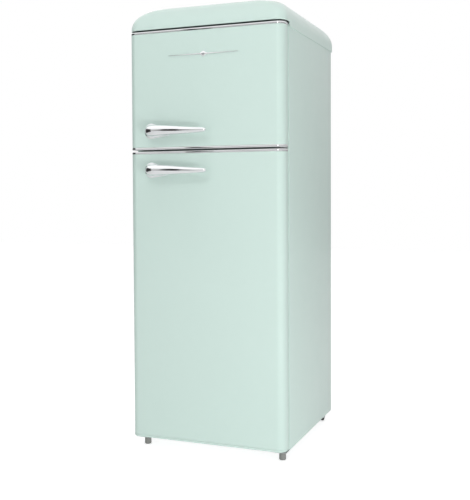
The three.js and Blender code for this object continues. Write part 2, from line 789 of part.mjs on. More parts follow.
const freezerDyke = { x: [-200, 197], z: [freezer.floor + 10, freezer.ceiling - 10], reach: 79 };
const fridgeDyke = { x: [-208, 205], z: [fridge.floor + 12, fridge.ceiling - 12], reach: 89 };
door("freezer", freezerDoorSpan, freezerDyke, betweenDoors + handleRise.freezer, chrome);
door("fridge", fridgeDoorSpan, fridgeDyke, betweenDoors + handleRise.fridge, enamel);

// Plain bright spear with a small lozenge, in place of a nameplate.
function ornament() {
  const z = 1307;
  const right = [
    [125, 0],
    [118, 1.2],
    [16, 2.4],
    [9, 3],
    [0, 9],
  ];
  const left = right.slice(0, -1).reverse();
  const upper = [...right, ...left.map(([x, v]) => [-x, v])];
  const lower = upper.slice(1, -1).reverse().map(([x, v]) => [x, -v]);
  const outline = [...upper, ...lower].map(([x, v]) => [x, z + v]);
  return alongY(outlineOf(outline), -3, -gap);
}
add("door_ornament", ornament(), chrome);

// Bins that hang inside the doors.
const binHalfWidth = 180;
function doorBin(depth, bottom, height, halfWidth = binHalfWidth) {
  const x0 = -halfWidth - 2;
  const x1 = halfWidth - 2;
  const top = bottom + height;
  const box = tray(x0, x1, doorDepth + 0.6, depth, bottom, top, 2.5);
  return cut(box, slab(x0 + 40, x1 - 40, depth - 5, depth + 5, bottom + height * 0.72, top + 5));
}
add("freezer_door_bin", doorBin(115, 1072, 78, 172), clearPlastic);
add("door_bin_upper", doorBin(132, 745, 80), clearPlastic);
add("door_bin_middle", doorBin(132, 520, 90), clearPlastic);
add("bottle_bin", doorBin(135, 165, 130), clearPlastic);

// ---- Inside the compartments ----

// Coated wire shelf of the freezer: a rim and cross wires.
function wireShelf() {
  const half = 210;
  const z = wireShelfHeight;
  const rims = [
    cylinderY(-half, z, 2.4, 120, 498, 8),
    cylinderY(half, z, 2.4, 120, 498, 8),
    cylinderX(121, z, 2.4, -half, half, 8),
    cylinderX(497, z, 2.4, -half, half, 8),
    cylinderX(309, z - 2.4, 1.8, -half + 7, half - 7, 6),
  ];
  const wires = 15;
  for (let i = 1; i < wires; i++)
    rims.push(cylinderY(-half + (2 * half * i) / wires, z + 0.6, 1.6, 120, 498, 6));
  return joined(...rims);
}
add("freezer_wire_shelf", wireShelf(), whitePlastic);

// Glass shelf with its front strip in one piece.
function glassShelf(z) {
  const from = 152;
  return joined(slab(-222, 222, from + 2, 511, z, z + 4), slab(-222, 222, from, from + 12, z - 4, z + 7));
}
add("glass_shelf_upper", glassShelf(shelfHeights.upper), glass);
add("glass_shelf_lower", glassShelf(shelfHeights.lower), glass);
add("crisper_cover", slab(-222, 222, 154, 512, fridge.stepTop + 3, fridge.stepTop + 7), glass);

// Drawer under the cover, in front of the step over the machine bay.
function crisperDrawer() {
  const body = tray(-205, 205, 153, 345, fridge.floor + 0.6, 297, 3);
  const grip = slab(-80, 80, 156, 170, 262, 268);
  return joined(body, grip);
}
add("crisper_drawer", crisperDrawer(), clearPlastic);

// Control housing under the ceiling of the food compartment.
const switchPlace = { x: 60, z: 932 };
const knobPlace = { x: -38, depth: 150 };
const housingBottom = 915;
function controlHousing() {
  const body = slab(-85, 85, 100, 222, housingBottom, fridge.ceiling - gap);
  return cut(body, cylinderY(switchPlace.x, switchPlace.z, 4.4, 95, 126, 12));
}
add("control_housing", controlHousing(), whitePlastic);

function lightLens() {
  const rim = slab(8, 70, 118, 206, housingBottom - 3, housingBottom - gap);
  return joined(rim, slab(14, 64, 124, 200, housingBottom - 9, housingBottom - 2));
}
add("light_lens", lightLens(), clearPlastic);

function thermostatKnob() {
  const top = housingBottom - gap;
  const disc = cylinderZ(knobPlace.x, knobPlace.depth, 18, top - 5, top, 24);
  const grip = cylinderZ(knobPlace.x, knobPlace.depth, 14, top - 14, top - 4, 20);
  const { x, depth } = knobPlace;
  return joined(disc, grip, slab(x - 2.5, x + 2.5, depth - 17, depth + 13, top - 17, top - 4));
}
add("thermostat_knob", thermostatKnob(), whitePlastic);

// Push switch that the door rim presses in.
const plungerBody = cylinderY(switchPlace.x, switchPlace.z, 4, fridgeDyke.reach + 0.6, 118, 12);
add("light_switch_plunger", plungerBody, whitePlastic);

export default group;
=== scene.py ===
"""Looks of a two-door refrigerator in the rounded style of the 1950s, freezer compartment on top.

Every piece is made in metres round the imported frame: +Z is up, the doors face -Y and hinge on the +X side.
Depths are counted backwards from the front face of the doors by behind().
"""

import json
import math

import bmesh
import bpy
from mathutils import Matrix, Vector


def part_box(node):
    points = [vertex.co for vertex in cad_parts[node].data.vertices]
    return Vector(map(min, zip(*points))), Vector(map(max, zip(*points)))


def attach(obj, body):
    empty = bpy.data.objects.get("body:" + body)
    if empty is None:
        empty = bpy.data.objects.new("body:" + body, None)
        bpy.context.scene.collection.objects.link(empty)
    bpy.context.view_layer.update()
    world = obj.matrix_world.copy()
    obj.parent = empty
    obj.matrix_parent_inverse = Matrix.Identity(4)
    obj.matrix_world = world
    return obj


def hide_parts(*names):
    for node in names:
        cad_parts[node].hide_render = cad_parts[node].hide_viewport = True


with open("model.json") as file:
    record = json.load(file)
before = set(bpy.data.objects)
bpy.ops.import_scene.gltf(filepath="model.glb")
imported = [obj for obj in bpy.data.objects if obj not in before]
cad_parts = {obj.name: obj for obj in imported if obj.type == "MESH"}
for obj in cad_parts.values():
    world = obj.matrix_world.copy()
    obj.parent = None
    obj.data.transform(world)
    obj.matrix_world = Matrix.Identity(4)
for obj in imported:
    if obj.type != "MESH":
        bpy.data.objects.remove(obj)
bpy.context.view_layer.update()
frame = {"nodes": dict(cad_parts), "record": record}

CABINET = "cabinet"
SHARP_ANGLE = math.radians(38)
UP, DOWN = (0, 0, 1), (0, 0, -1)
FRONT, REAR = (0, -1, 0), (0, 1, 0)
RIGHT = (1, 0, 0)


class Span:
    """Where a CAD node lies at rest, as named numbers."""

    def __init__(self, node):
        self.lo, self.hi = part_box(node)
        self.x0, self.y0, self.z0 = self.lo
        self.x1, self.y1, self.z1 = self.hi
        self.cx, self.cy, self.cz = (self.lo + self.hi) / 2


door_face = Span("fridge_door_skin").y0


def behind(depth):
    """The Y of a place that lies this far behind the front face of the doors."""
    return door_face + depth


# ---- Materials ----


class Shader:
    """A Principled material whose colour, roughness and relief come from procedural textures."""

    def __init__(self, name, color, roughness, metallic=0.0):
        self.material = bpy.data.materials.new(name)
        self.material.use_nodes = True
        self.nodes = self.material.node_tree.nodes
        self.links = self.material.node_tree.links
        self.main = self.nodes["Principled BSDF"]
        self.main.inputs["Roughness"].default_value = roughness
        self.main.inputs["Metallic"].default_value = metallic
        self.color = self.rgb(color)
        self.relief = None
        self.place = self.nodes.new("ShaderNodeTexCoord").outputs["Object"]

    def rgb(self, color):
        node = self.nodes.new("ShaderNodeRGB")
        node.outputs[0].default_value = (*color, 1)
        return node.outputs[0]

    def stretched(self, scale):
        """Object coordinates scaled along each axis, for grain that runs one way."""
        node = self.nodes.new("ShaderNodeMapping")
        node.inputs["Scale"].default_value = scale
        self.links.new(self.place, node.inputs["Vector"])
        return node.outputs["Vector"]

    def noise(self, scale, detail=3.0, rough=0.5, along=(1, 1, 1)):
        node = self.nodes.new("ShaderNodeTexNoise")
        node.inputs["Scale"].default_value = scale
        node.inputs["Detail"].default_value = detail
        node.inputs["Roughness"].default_value = rough
        self.links.new(self.stretched(along), node.inputs["Vector"])
        return node.outputs["Fac"]

    def cells(self, scale, feature="F1"):
        node = self.nodes.new("ShaderNodeTexVoronoi")
        node.feature = feature
        node.inputs["Scale"].default_value = scale
        self.links.new(self.place, node.inputs["Vector"])
        return node.outputs["Distance"] if feature == "DISTANCE_TO_EDGE" else node.outputs["Color"]

    def ranged(self, value, low, high, source=(0.3, 0.7)):
        """Maps a texture value to the range low to high."""
        node = self.nodes.new("ShaderNodeMapRange")
        node.inputs["From Min"].default_value, node.inputs["From Max"].default_value = source
        node.inputs["To Min"].default_value, node.inputs["To Max"].default_value = low, high
        self.links.new(value, node.inputs["Value"])
        return node.outputs["Result"]

    def tint(self, factor, color):
        """Mixes another colour in where factor is high."""
        node = self.nodes.new("ShaderNodeMix")
        node.data_type = "RGBA"
        self.links.new(factor, node.inputs["Factor"])
        self.links.new(self.color, node.inputs["A"])
        node.inputs["B"].default_value = (*color, 1)
        self.color = node.outputs["Result"]

    def rough(self, value, low, high):
        self.links.new(self.ranged(value, low, high), self.main.inputs["Roughness"])

    def bump(self, height, distance, strength=1.0):
        node = self.nodes.new("ShaderNodeBump")
        node.inputs["Distance"].default_value = distance
        node.inputs["Strength"].default_value = strength
        self.links.new(height, node.inputs["Height"])
        if self.relief:
            self.links.new(self.relief, node.inputs["Normal"])
        self.relief = node.outputs["Normal"]

    def set(self, **sockets):
        for name, value in sockets.items():
            socket = "IOR" if name == "ior" else name.replace("_", " ").title()
            self.main.inputs[socket].default_value = value

    def done(self):
        self.links.new(self.color, self.main.inputs["Base Color"])
        if self.relief:
            self.links.new(self.relief, self.main.inputs["Normal"])
        return self.material


def enamel():
    """Baked enamel: an even colour, a faint orange peel and a clear gloss."""
    s = Shader("enamel", (0.600, 0.745, 0.690), 0.32)
    s.tint(s.ranged(s.noise(2.2, 2), 0, 0.5), (0.580, 0.728, 0.672))
    s.tint(s.ranged(s.noise(38, 2), 0, 0.15), (0.625, 0.768, 0.712))
    s.rough(s.noise(14, 4), 0.29, 0.38)
    s.bump(s.noise(240, 1), 0.00001)
    s.set(coat_weight=0.35, coat_roughness=0.06)
    return s.done()


def chrome():
    """Polished chrome plate with faint wiping marks."""
    s = Shader("chrome", (0.86, 0.87, 0.88), 0.06, 1.0)
    s.tint(s.ranged(s.noise(9, 3), 0, 0.4), (0.78, 0.79, 0.80))
    s.rough(s.noise(60, 5, 0.6, (1, 1, 6)), 0.03, 0.11)
    s.bump(s.noise(45, 1), 0.00004)
    return s.done()


def hinge_steel():
    """Zinc-plated pressed steel with a drawn grain."""
    s = Shader("hinge_steel", (0.52, 0.53, 0.53), 0.36, 1.0)
    s.tint(s.ranged(s.noise(55, 5, 0.7), 0, 0.6), (0.40, 0.41, 0.42))
    s.rough(s.noise(240, 4, 0.6, (0.1, 1, 1)), 0.28, 0.46)
    s.bump(s.noise(700, 3, 0.6, (0.08, 1, 1)), 0.00004)
    return s.done()


def zinc_sheet():
    """Galvanised sheet with its spangle and some handling dust."""
    s = Shader("zinc_sheet", (0.55, 0.57, 0.58), 0.42, 0.85)
    s.tint(s.ranged(s.cells(90), 0, 0.45, (0, 1)), (0.66, 0.68, 0.69))
    s.tint(s.ranged(s.noise(6, 5, 0.6), 0, 0.35), (0.42, 0.43, 0.42))
    s.rough(s.cells(90), 0.33, 0.52)
    s.bump(s.noise(500, 3), 0.00003)
    return s.done()


def liner_white():
    """Thermoformed white plastic with a fine moulded texture."""
    s = Shader("liner_white", (0.80, 0.83, 0.82), 0.38)
    s.tint(s.ranged(s.noise(5, 3), 0, 0.5), (0.76, 0.79, 0.79))
    s.rough(s.noise(30, 4), 0.33, 0.46)
    s.bump(s.noise(1500, 2), 0.00004)
    s.set(subsurface_weight=0.04, subsurface_scale=0.004)
    return s.done()


def grey_plastic():
    """Injection-moulded grey plastic, a little scuffed."""
    s = Shader("grey_plastic", (0.30, 0.305, 0.29), 0.5)
    s.tint(s.ranged(s.noise(120, 5, 0.7), 0, 0.6), (0.24, 0.245, 0.235))
    s.tint(s.ranged(s.noise(900, 2), 0, 0.3, (0.55, 0.75)), (0.42, 0.42, 0.41))
    s.rough(s.noise(80, 4), 0.4, 0.62)
    s.bump(s.noise(1800, 2), 0.00005)
    return s.done()


def black_metal():
    """Black stove enamel over steel with a thin film of dust."""
    s = Shader("black_metal", (0.013, 0.014, 0.016), 0.35)
    s.tint(s.ranged(s.noise(18, 6, 0.65), 0, 0.5, (0.45, 0.8)), (0.05, 0.05, 0.048))
    s.rough(s.noise(40, 5, 0.6), 0.29, 0.5)
    s.bump(s.noise(380, 3), 0.00008)
    s.set(coat_weight=0.2, coat_roughness=0.15)
    return s.done()


def black_rubber():
    """Dull moulded rubber."""
    s = Shader("black_rubber", (0.016, 0.017, 0.018), 0.8)
    s.tint(s.ranged(s.noise(70, 6, 0.7), 0, 0.6, (0.45, 0.75)), (0.045, 0.045, 0.043))
    s.rough(s.noise(90, 4), 0.68, 0.9)
    s.bump(s.noise(1300, 3), 0.0001)
    return s.done()


def seal_rubber():
    """Soft vinyl of the door seals."""
    s = Shader("seal_rubber", (0.60, 0.63, 0.62), 0.55)
    s.tint(s.ranged(s.noise(16, 4), 0, 0.5), (0.52, 0.55, 0.54))
    s.rough(s.noise(60, 4), 0.48, 0.66)
    s.bump(s.noise(1100, 2), 0.00006)
    s.set(subsurface_weight=0.08, subsurface_scale=0.003)
    return s.done()


def copper():
    """Drawn copper tube, dulled in patches."""
    s = Shader("copper", (0.78, 0.36, 0.20), 0.28, 1.0)
    s.tint(s.ranged(s.noise(35, 6, 0.7), 0, 0.8), (0.42, 0.20, 0.12))
    s.rough(s.noise(70, 5), 0.29, 0.48)
    s.bump(s.noise(900, 3), 0.00005)
    return s.done()


def insulation_foam():
    """Rigid foam with an open cell at its skin."""
    s = Shader("insulation_foam", (0.78, 0.68, 0.38), 0.95)
    s.tint(s.ranged(s.noise(30, 6, 0.7), 0, 0.7), (0.66, 0.54, 0.27))
    s.rough(s.noise(200, 3), 0.86, 1.0)
    s.bump(s.cells(700, "DISTANCE_TO_EDGE"), 0.0006)
    return s.done()


def aluminium_plate():
    """Rolled aluminium with its mill grain."""
    s = Shader("aluminium_plate", (0.66, 0.68, 0.69), 0.34, 1.0)
    s.tint(s.ranged(s.noise(12, 4), 0, 0.5), (0.56, 0.58, 0.59))
    s.rough(s.noise(300, 4, 0.6, (0.05, 1, 1)), 0.29, 0.42)
    s.bump(s.noise(800, 3, 0.6, (0.04, 1, 1)), 0.00003)
    return s.done()


def shelf_glass():
    """Toughened shelf glass with a green cast and a few finger marks."""
    s = Shader("shelf_glass", (0.86, 0.95, 0.92), 0.03)
    s.tint(s.ranged(s.noise(7, 3), 0, 0.4), (0.80, 0.92, 0.88))
    s.rough(s.noise(25, 6, 0.7), 0.01, 0.09)
    s.bump(s.noise(5, 1), 0.00008)
    s.set(transmission_weight=0.92, ior=1.5)
    return s.done()


def clear_plastic():
    """Clear polystyrene with a light moulded frost."""
    s = Shader("clear_plastic", (0.86, 0.92, 0.93), 0.16)
    s.tint(s.ranged(s.noise(10, 3), 0, 0.5), (0.80, 0.87, 0.89))
    s.rough(s.noise(45, 5, 0.6), 0.10, 0.26)
    s.bump(s.noise(1200, 2), 0.00005)
    s.set(transmission_weight=0.62, ior=1.46)
    return s.done()


def coated_wire():
    """White powder coat on steel wire."""
    s = Shader("coated_wire", (0.83, 0.85, 0.84), 0.3)
    s.tint(s.ranged(s.noise(60, 4), 0, 0.5), (0.76, 0.78, 0.78))
    s.rough(s.noise(120, 3), 0.29, 0.42)
    s.bump(s.noise(900, 2), 0.00006)
    return s.done()


makers = (
    enamel, chrome, hinge_steel, zinc_sheet, liner_white, grey_plastic, black_metal, black_rubber,
    seal_rubber, copper, insulation_foam, aluminium_plate, shelf_glass, clear_plastic, coated_wire,
)
finishes = {maker.__name__: maker() for maker in makers}


# ---- Shape helpers ----


def rounded(u0, u1, v0, v1, radii, steps=6):
    """Points of a rounded rectangle, anticlockwise from its corner (u0, v0)."""
    a, b, c, d = radii if isinstance(radii, (list, tuple)) else (radii,) * 4
    centres = ((u0 + a, v0 + a, a), (u1 - b, v0 + b, b), (u1 - c, v1 - c, c), (u0 + d, v1 - d, d))
    points = []
    for quarter, (u, v, r) in enumerate(centres):
        for i in range(steps + 1):
            angle = math.pi * (1 + quarter / 2 + i / steps / 2)
            points.append((u + r * math.cos(angle), v + r * math.sin(angle)))
    return points


def quarter_turn(steps):
    """The angles from 0 to 90 degrees in equal steps."""
    return [math.pi / 2 * i / steps for i in range(steps + 1)]


def filleted(points, radius, steps=6):
    """A path whose inner corners are rounded."""
    path = [Vector(p) for p in points]
    made = [path[0]]
    for before, here, after in zip(path, path[1:], path[2:]):
        reach = min(radius, (here - before).length / 2, (after - here).length / 2)
        start = here + (before - here).normalized() * reach
        end = here + (after - here).normalized() * reach
        for i in range(steps + 1):
            t = i / steps
            made.append(start * (1 - t) ** 2 + here * 2 * t * (1 - t) + end * t**2)
    return made + [path[-1]]


def eased(rows, steps):
    """Rows of numbers with smooth rows put between them (a Catmull-Rom spline)."""
    made = []
    last = len(rows) - 1
    for k in range(last):
        p0, p1, p2, p3 = rows[max(k - 1, 0)], rows[k], rows[k + 1], rows[min(k + 2, last)]
        for i in range(steps):
            t = i / steps
            made.append([
                0.5 * (2 * b + (c - a) * t + (2 * a - 5 * b + 4 * c - d) * t * t
                       + (3 * b - a - 3 * c + d) * t**3)
                for a, b, c, d in zip(p0, p1, p2, p3)
            ])
    return made + [list(rows[-1])]


def placed(axis, u, v, w):
    """A point from two outline numbers and one number along the axis of a prism."""
    return {"x": (w, u, v), "y": (u, w, v), "z": (u, v, w)}[axis]


class Piece:
    """A piece under construction: one or more closed shells in one mesh."""

    def __init__(self, name):
        self.name = name
        self.bm = bmesh.new()

    def loft(self, rings, caps=True, loop=False):
        """A skin over rings of points, closed by a face at each end or joined to its own start."""
        rows = [[self.bm.verts.new(point) for point in ring] for ring in rings]
        pairs = list(zip(rows, rows[1:]))
        if loop:
            pairs.append((rows[-1], rows[0]))
        for low, high in pairs:
            for i, corner in enumerate(low):
                j = (i + 1) % len(low)
                self.bm.faces.new((corner, low[j], high[j], high[i]))
        if caps and not loop:
            self.bm.faces.new(rows[0][::-1])
            self.bm.faces.new(rows[-1])
        return self

    def prism(self, outline, axis, start, end):
        return self.loft([[placed(axis, u, v, w) for u, v in outline] for w in (start, end)])

    def box(self, lo, hi, edge=0.0, steps=2):
        """A box between two corners with rounded edges."""
        made = bmesh.ops.create_cube(self.bm, size=1.0)["verts"]
        low, high = Vector(lo), Vector(hi)
        for v in made:
            v.co = Vector(c + 0.5 for c in v.co) * (high - low) + low
        if edge:
            edges = list({e for v in made for e in v.link_edges})
            bmesh.ops.bevel(self.bm, geom=edges, offset=edge, segments=steps, profile=0.5,
                            affect="EDGES", clamp_overlap=True)
        return self

    def turned(self, profile, place, direction=UP, segments=32, stretch=1.0, loop=False):
        """A solid of revolution from (radius, height) pairs along a direction."""
        turn = Vector(direction).to_track_quat("Z", "Y").to_matrix()
        rings = []
        for radius, height in profile:
            ring = []
            for i in range(segments):
                angle = 2 * math.pi * i / segments
                local = Vector((radius * math.cos(angle) * stretch, radius * math.sin(angle), height))
                ring.append(Vector(place) + turn @ local)
            rings.append(ring)
        return self.loft(rings, loop=loop)

    def tube(self, points, radius, sides=12):
        """A round tube along a path; the frame of its rings is carried along without twist."""
        path = [Vector(p) for p in points]
        across = None
        rings = []
        for i, here in enumerate(path):
            into = (here - path[max(i - 1, 0)]).normalized()
            out = (path[min(i + 1, len(path) - 1)] - here).normalized()
            along = (into + out).normalized()
            if across is None:
                across = along.orthogonal()
            across = (across - along * across.dot(along)).normalized()
            side = along.cross(across)
            angles = [2 * math.pi * k / sides for k in range(sides)]
            rings.append([here + (across * math.cos(a) + side * math.sin(a)) * radius for a in angles])
        return self.loft(rings)

    def screw(self, place, direction, radius=0.0036):
        """A pan head with a cross recess."""
        turn = Vector(direction).to_track_quat("Z", "Y").to_matrix()
        segments = 24
        rings = []
        dome = ((1, 0), (1, 0.25), (0.93, 0.42), (0.75, 0.55), (0.52, 0.6), (0.3, 0.62), (0.08, 0.62))
        for share, height in dome:
            ring = []
            for i in range(segments):
                arm = abs((i + 3) % 6 - 3)
                depth = 0.4 if share < 0.6 and arm < 1.5 or share < 0.1 else 0
                angle = 2 * math.pi * i / segments
                local = Vector((share * math.cos(angle), share * math.sin(angle), height - depth))
                ring.append(Vector(place) + turn @ (local * radius))
            rings.append(ring)
        return self.loft(rings)

    def thicken(self, thickness):
        """Gives the open skin made so far a second side."""
        bmesh.ops.recalc_face_normals(self.bm, faces=self.bm.faces[:])
        bmesh.ops.solidify(self.bm, geom=self.bm.faces[:], thickness=thickness)
        return self

    def finish(self, body, slot, replaces=(), bevel=0.0, cutters=()):
        """Makes the object, cuts it, rounds its sharp edges and fixes it to its body."""
        bmesh.ops.remove_doubles(self.bm, verts=self.bm.verts[:], dist=1e-6)
        bmesh.ops.recalc_face_normals(self.bm, faces=self.bm.faces[:])
        mesh = bpy.data.meshes.new(self.name)
        self.bm.to_mesh(mesh)
        self.bm.free()
        piece = bpy.data.objects.new(self.name, mesh)
        bpy.context.scene.collection.objects.link(piece)
        for cutter in cutters:
            carve(piece, cutter)
        shade(piece.data)
        piece.data.materials.append(finishes[slot])
        if bevel:
            round_edges(piece, bevel)
        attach(piece, body)
        if replaces:
            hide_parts(*([replaces] if isinstance(replaces, str) else replaces))
        return piece


def shade(mesh):
    mesh.shade_smooth()
    mesh.set_sharp_from_angle(angle=SHARP_ANGLE)


def round_edges(piece, width, segments=2):
    bevel = piece.modifiers.new("edges", "BEVEL")
    bevel.width = width
    bevel.segments = segments
    bevel.limit_method = "ANGLE"
    bevel.angle_limit = SHARP_ANGLE
    piece.modifiers.new("normals", "WEIGHTED_NORMAL").keep_sharp = True


def carve(piece, tool):
    """Cuts the space of a tool piece out of a piece."""
    bmesh.ops.recalc_face_normals(tool.bm, faces=tool.bm.faces[:])
    mesh = bpy.data.meshes.new("tool")
    tool.bm.to_mesh(mesh)
    tool.bm.free()
    cutter = bpy.data.objects.new("tool", mesh)
    bpy.context.scene.collection.objects.link(cutter)
    cut = piece.modifiers.new("cut", "BOOLEAN")
    cut.operation = "DIFFERENCE"
    cut.solver = "EXACT"
    cut.object = cutter
    bpy.context.view_layer.update()
    done = piece.evaluated_get(bpy.context.evaluated_depsgraph_get())
    result = bpy.data.meshes.new_from_object(done)
    piece.modifiers.clear()
    piece.data = result
    piece.data.name = piece.name
    bpy.data.objects.remove(cutter)


def dress_frame():
    """Gives every CAD node its finish, and soft edges to those that stay in sight."""
    for row in frame["record"]["subparts"]:
        node = frame["nodes"][row["node"]]
        node.data.materials.clear()
        node.data.materials.append(finishes[row["material_slot"]])
        node.data.shade_smooth()
        node.modifiers.new("weld", "WELD").merge_threshold = 1e-5
        round_edges(node, 0.0004)


# ---- Outer case ----


def cover():
    """The domed top cover: a thin shell whose front lip ends higher than its side lips."""
    span = Span("top_cover")
    wall = 0.0022
    side_lip, front_lip = span.z0, span.z0 + 0.014
    lip_step = behind(0.0553)
    roll = {"side": 0.070, "front": 0.060, "rear": 0.070}
    corner = {"front": 0.034, "rear": 0.010}
    spread = 0.050
    roll_steps, corner_steps, side_steps = 20, 10, 10

    def ring(skin, inward, z, lips=None):
        inset = {side: skin + (reach - skin) * inward for side, reach in roll.items()}
        x1 = span.x1 - inset["side"]
        y0, y1 = span.y0 + inset["front"], span.y1 - inset["rear"]
        front, rear = (corner[end] - skin + spread * inward for end in ("front", "rear"))
        arcs = rounded(-x1, x1, y0, y1, (front, front, rear, rear), corner_steps)
        quarter = corner_steps + 1
        straight = span.y1 - span.y0 - corner["front"] - corner["rear"]
        step_share = (lip_step - span.y0 - corner["front"]) / straight
        shares = [step_share * 0.999, step_share] + [
            step_share + (1 - step_share) * (i + 1) / side_steps for i in range(side_steps - 1)
        ]
        right = [(x1, y0 + front + (y1 - rear - y0 - front) * share) for share in shares]
        left = [(-x, y) for x, y in reversed(right)]
        outline = arcs[: 2 * quarter] + right + arcs[2 * quarter :] + left
        made = []
        for x, y in outline:
            low = z
            if lips:
                low = lips[0] if y < lip_step - 1e-5 else lips[1]
            made.append((x, y, low))
        return made

    straight_top = span.z1 - roll["side"]
    outer = [ring(0, 0, 0, (front_lip, side_lip))]
    inner = [ring(wall, 0, 0, (front_lip, side_lip))]
    for angle in quarter_turn(roll_steps):
        inward = 1 - math.cos(angle)
        outer.append(ring(0, inward, straight_top + roll["side"] * math.sin(angle)))
        inner.append(ring(wall, inward, straight_top + (roll["side"] - wall) * math.sin(angle)))
    Piece("cover_shell").loft(inner[::-1] + outer).finish(CABINET, "enamel", "top_cover", bevel=0.0005)


def side_sheet(name, side):
    """Folded steel side with a rounded fold at the front and a narrow flange at the rear."""
    span = Span(f"side_panel_{name}")
    sheet, fold, steps = 0.001, 0.0035, 5
    out = max(abs(span.x0), abs(span.x1))
    front_flange, rear_flange = 0.038, 0.014

    def skin(inset):
        radius = fold - inset
        x1, y0, y1 = out - inset, span.y0 + inset, span.y1 - inset
        bends = rounded(x1 - 0.1, x1, y0, y1, (0.001, radius, radius, 0.001), steps)
        middle = bends[steps + 1 : 3 * (steps + 1)]
        return [(out - front_flange, y0)] + middle + [(out - rear_flange, y1)]

    outline = [(side * x, y) for x, y in skin(0) + skin(sheet)[::-1]]
    piece = Piece(f"side_sheet_{name}").prism(outline, "z", span.z0, span.z1)
    piece.finish(CABINET, "enamel", f"side_panel_{name}")


def back_sheet():
    """Rear sheet with a raised border bead, and the screws that hold it."""
    span = Span("back_panel")
    bead = 0.0012
    rings = []
    for inset, proud in ((0, 0), (0.030, 0), (0.033, bead), (0.045, bead), (0.048, 0)):
        x0, x1, z0, z1 = span.x0 + inset, span.x1 - inset, span.z0 + inset, span.z1 - inset
        outline = rounded(x0, x1, z0, z1, 0.004 + inset / 2, 6)
        rings.append([(x, span.y1 + proud, z) for x, z in outline])
    front = [(x, span.y0, z) for x, _, z in rings[0]]
    Piece("back_sheet").loft([front] + rings).finish(CABINET, "zinc_sheet", "back_panel")
    screws = Piece("back_screws")
    rows = 6
    for side in (-1, 1):
        for i in range(rows):
            z = span.z0 + 0.02 + (span.z1 - span.z0 - 0.045) * i / (rows - 1)
            screws.screw((side * (span.x1 - 0.022), span.y1, z), REAR, 0.004)
    screws.finish(CABINET, "hinge_steel")


# ---- Compartments ----


def liner(name, node, step=None, ribs=(), plates=()):
    """Thermoformed liner: a rounded hollow with a rolled lip, a rim, shelf ribs and raised panels."""
    span = Span(node)
    wall, rim, corner, lip = 0.002, 0.016, 0.014, 0.004
    half = 0.225 if step else 0.215
    floor, ceiling, back = span.z0 + rim, span.z1 - rim, span.y1 - wall
    beyond = span.y0 - 0.05
    profile = [(beyond, floor), (back, floor), (back, ceiling), (beyond, ceiling)]
    if step:
        profile[1:2] = [(step[0], floor), (step[0], step[1]), (back, step[1])]
    piece = Piece(name).prism(profile, "x", -half, half)
    bm = piece.bm
    inner_edges = [e for e in bm.edges if max(v.co.y for v in e.verts) > beyond + 1e-6]
    bmesh.ops.bevel(bm, geom=inner_edges, offset=corner, segments=5, profile=0.5, affect="EDGES")
    everything = bm.verts[:] + bm.edges[:] + bm.faces[:]
    front = (0, span.y0 + lip, 0)
    bmesh.ops.bisect_plane(bm, geom=everything, plane_co=front, plane_no=FRONT, clear_outer=True)
    mouth = [e for e in bm.edges if e.is_boundary]
    lip_steps = 4
    for i in range(1, lip_steps + 2):
        grown = bmesh.ops.extrude_edge_only(bm, edges=mouth)["geom"]
        mouth = [g for g in grown if isinstance(g, bmesh.types.BMEdge)]
        for v in {v for e in mouth for v in e.verts}:
            cx = max(-half + corner, min(half - corner, v.co.x))
            cz = max(floor + corner, min(ceiling - corner, v.co.z))
            out = Vector((v.co.x - cx, 0, v.co.z - cz)).normalized()
            if i <= lip_steps:
                turn = math.pi / 2 * i / lip_steps
                reach = corner + lip * (1 - math.cos(turn))
                v.co = Vector((cx, span.y0 + lip * (1 - math.sin(turn)), cz)) + out * reach
            else:
                to_side = (span.x1 - abs(cx)) / max(abs(out.x), 1e-6)
                to_end = ((span.z1 - cz) if out.z > 0 else (cz - span.z0)) / max(abs(out.z), 1e-6)
                v.co = Vector((cx, span.y0, cz)) + out * min(to_side, to_end)
                if abs(abs(out.x) - abs(out.z)) < 0.3:
                    v.co.x = math.copysign(span.x1, v.co.x)
                    v.co.z = span.z1 if out.z > 0 else span.z0
    piece.thicken(-wall)
    for z, start, end in ribs:
        for side in (-1, 1):
            x0, x1 = sorted((side * (half - 0.010), side * (half + 0.001)))
            piece.box((x0, behind(start), z - 0.009), (x1, behind(end), z), 0.003, 3)
    for x1, z0, z1 in plates:
        piece.box((-x1, back - 0.0025, z0), (x1, back + 0.001, z1), 0.0022, 3)
    piece.finish(CABINET, "liner_white", node)


def compartments():
    wire_z = Span("freezer_wire_shelf").z0 - 0.0008
    upper_z, lower_z = (Span(f"glass_shelf_{n}").z0 + 0.004 - 0.0003 for n in ("upper", "lower"))
    cover_z = Span("crisper_cover").z0 - 0.0003
    ribs = [(wire_z, 0.110, 0.503)]
    panels = [(0.185, 1.055, 1.165), (0.185, 1.20, 1.325)]
    liner("freezer_lining", "freezer_liner", None, ribs, panels)
    bay_step = (behind(0.350), 0.302)
    ribs = [(upper_z, 0.166, 0.512), (lower_z, 0.166, 0.512), (cover_z, 0.145, 0.348)]
    liner("fridge_lining", "fridge_liner", bay_step, ribs, [(0.19, 0.505, 0.680), (0.19, 0.725, 0.905)])


# ---- Doors ----


def door_plan(grow, back=0.049, steps=10):
    """Outline of a door seen from above, grown or shrunk all round."""
    half = Span("fridge_door_skin").x1 + grow
    front, rear = 0.026 + grow, 0.008
    return rounded(-half, half, behind(-grow), behind(back), (front, front, rear, rear), steps)


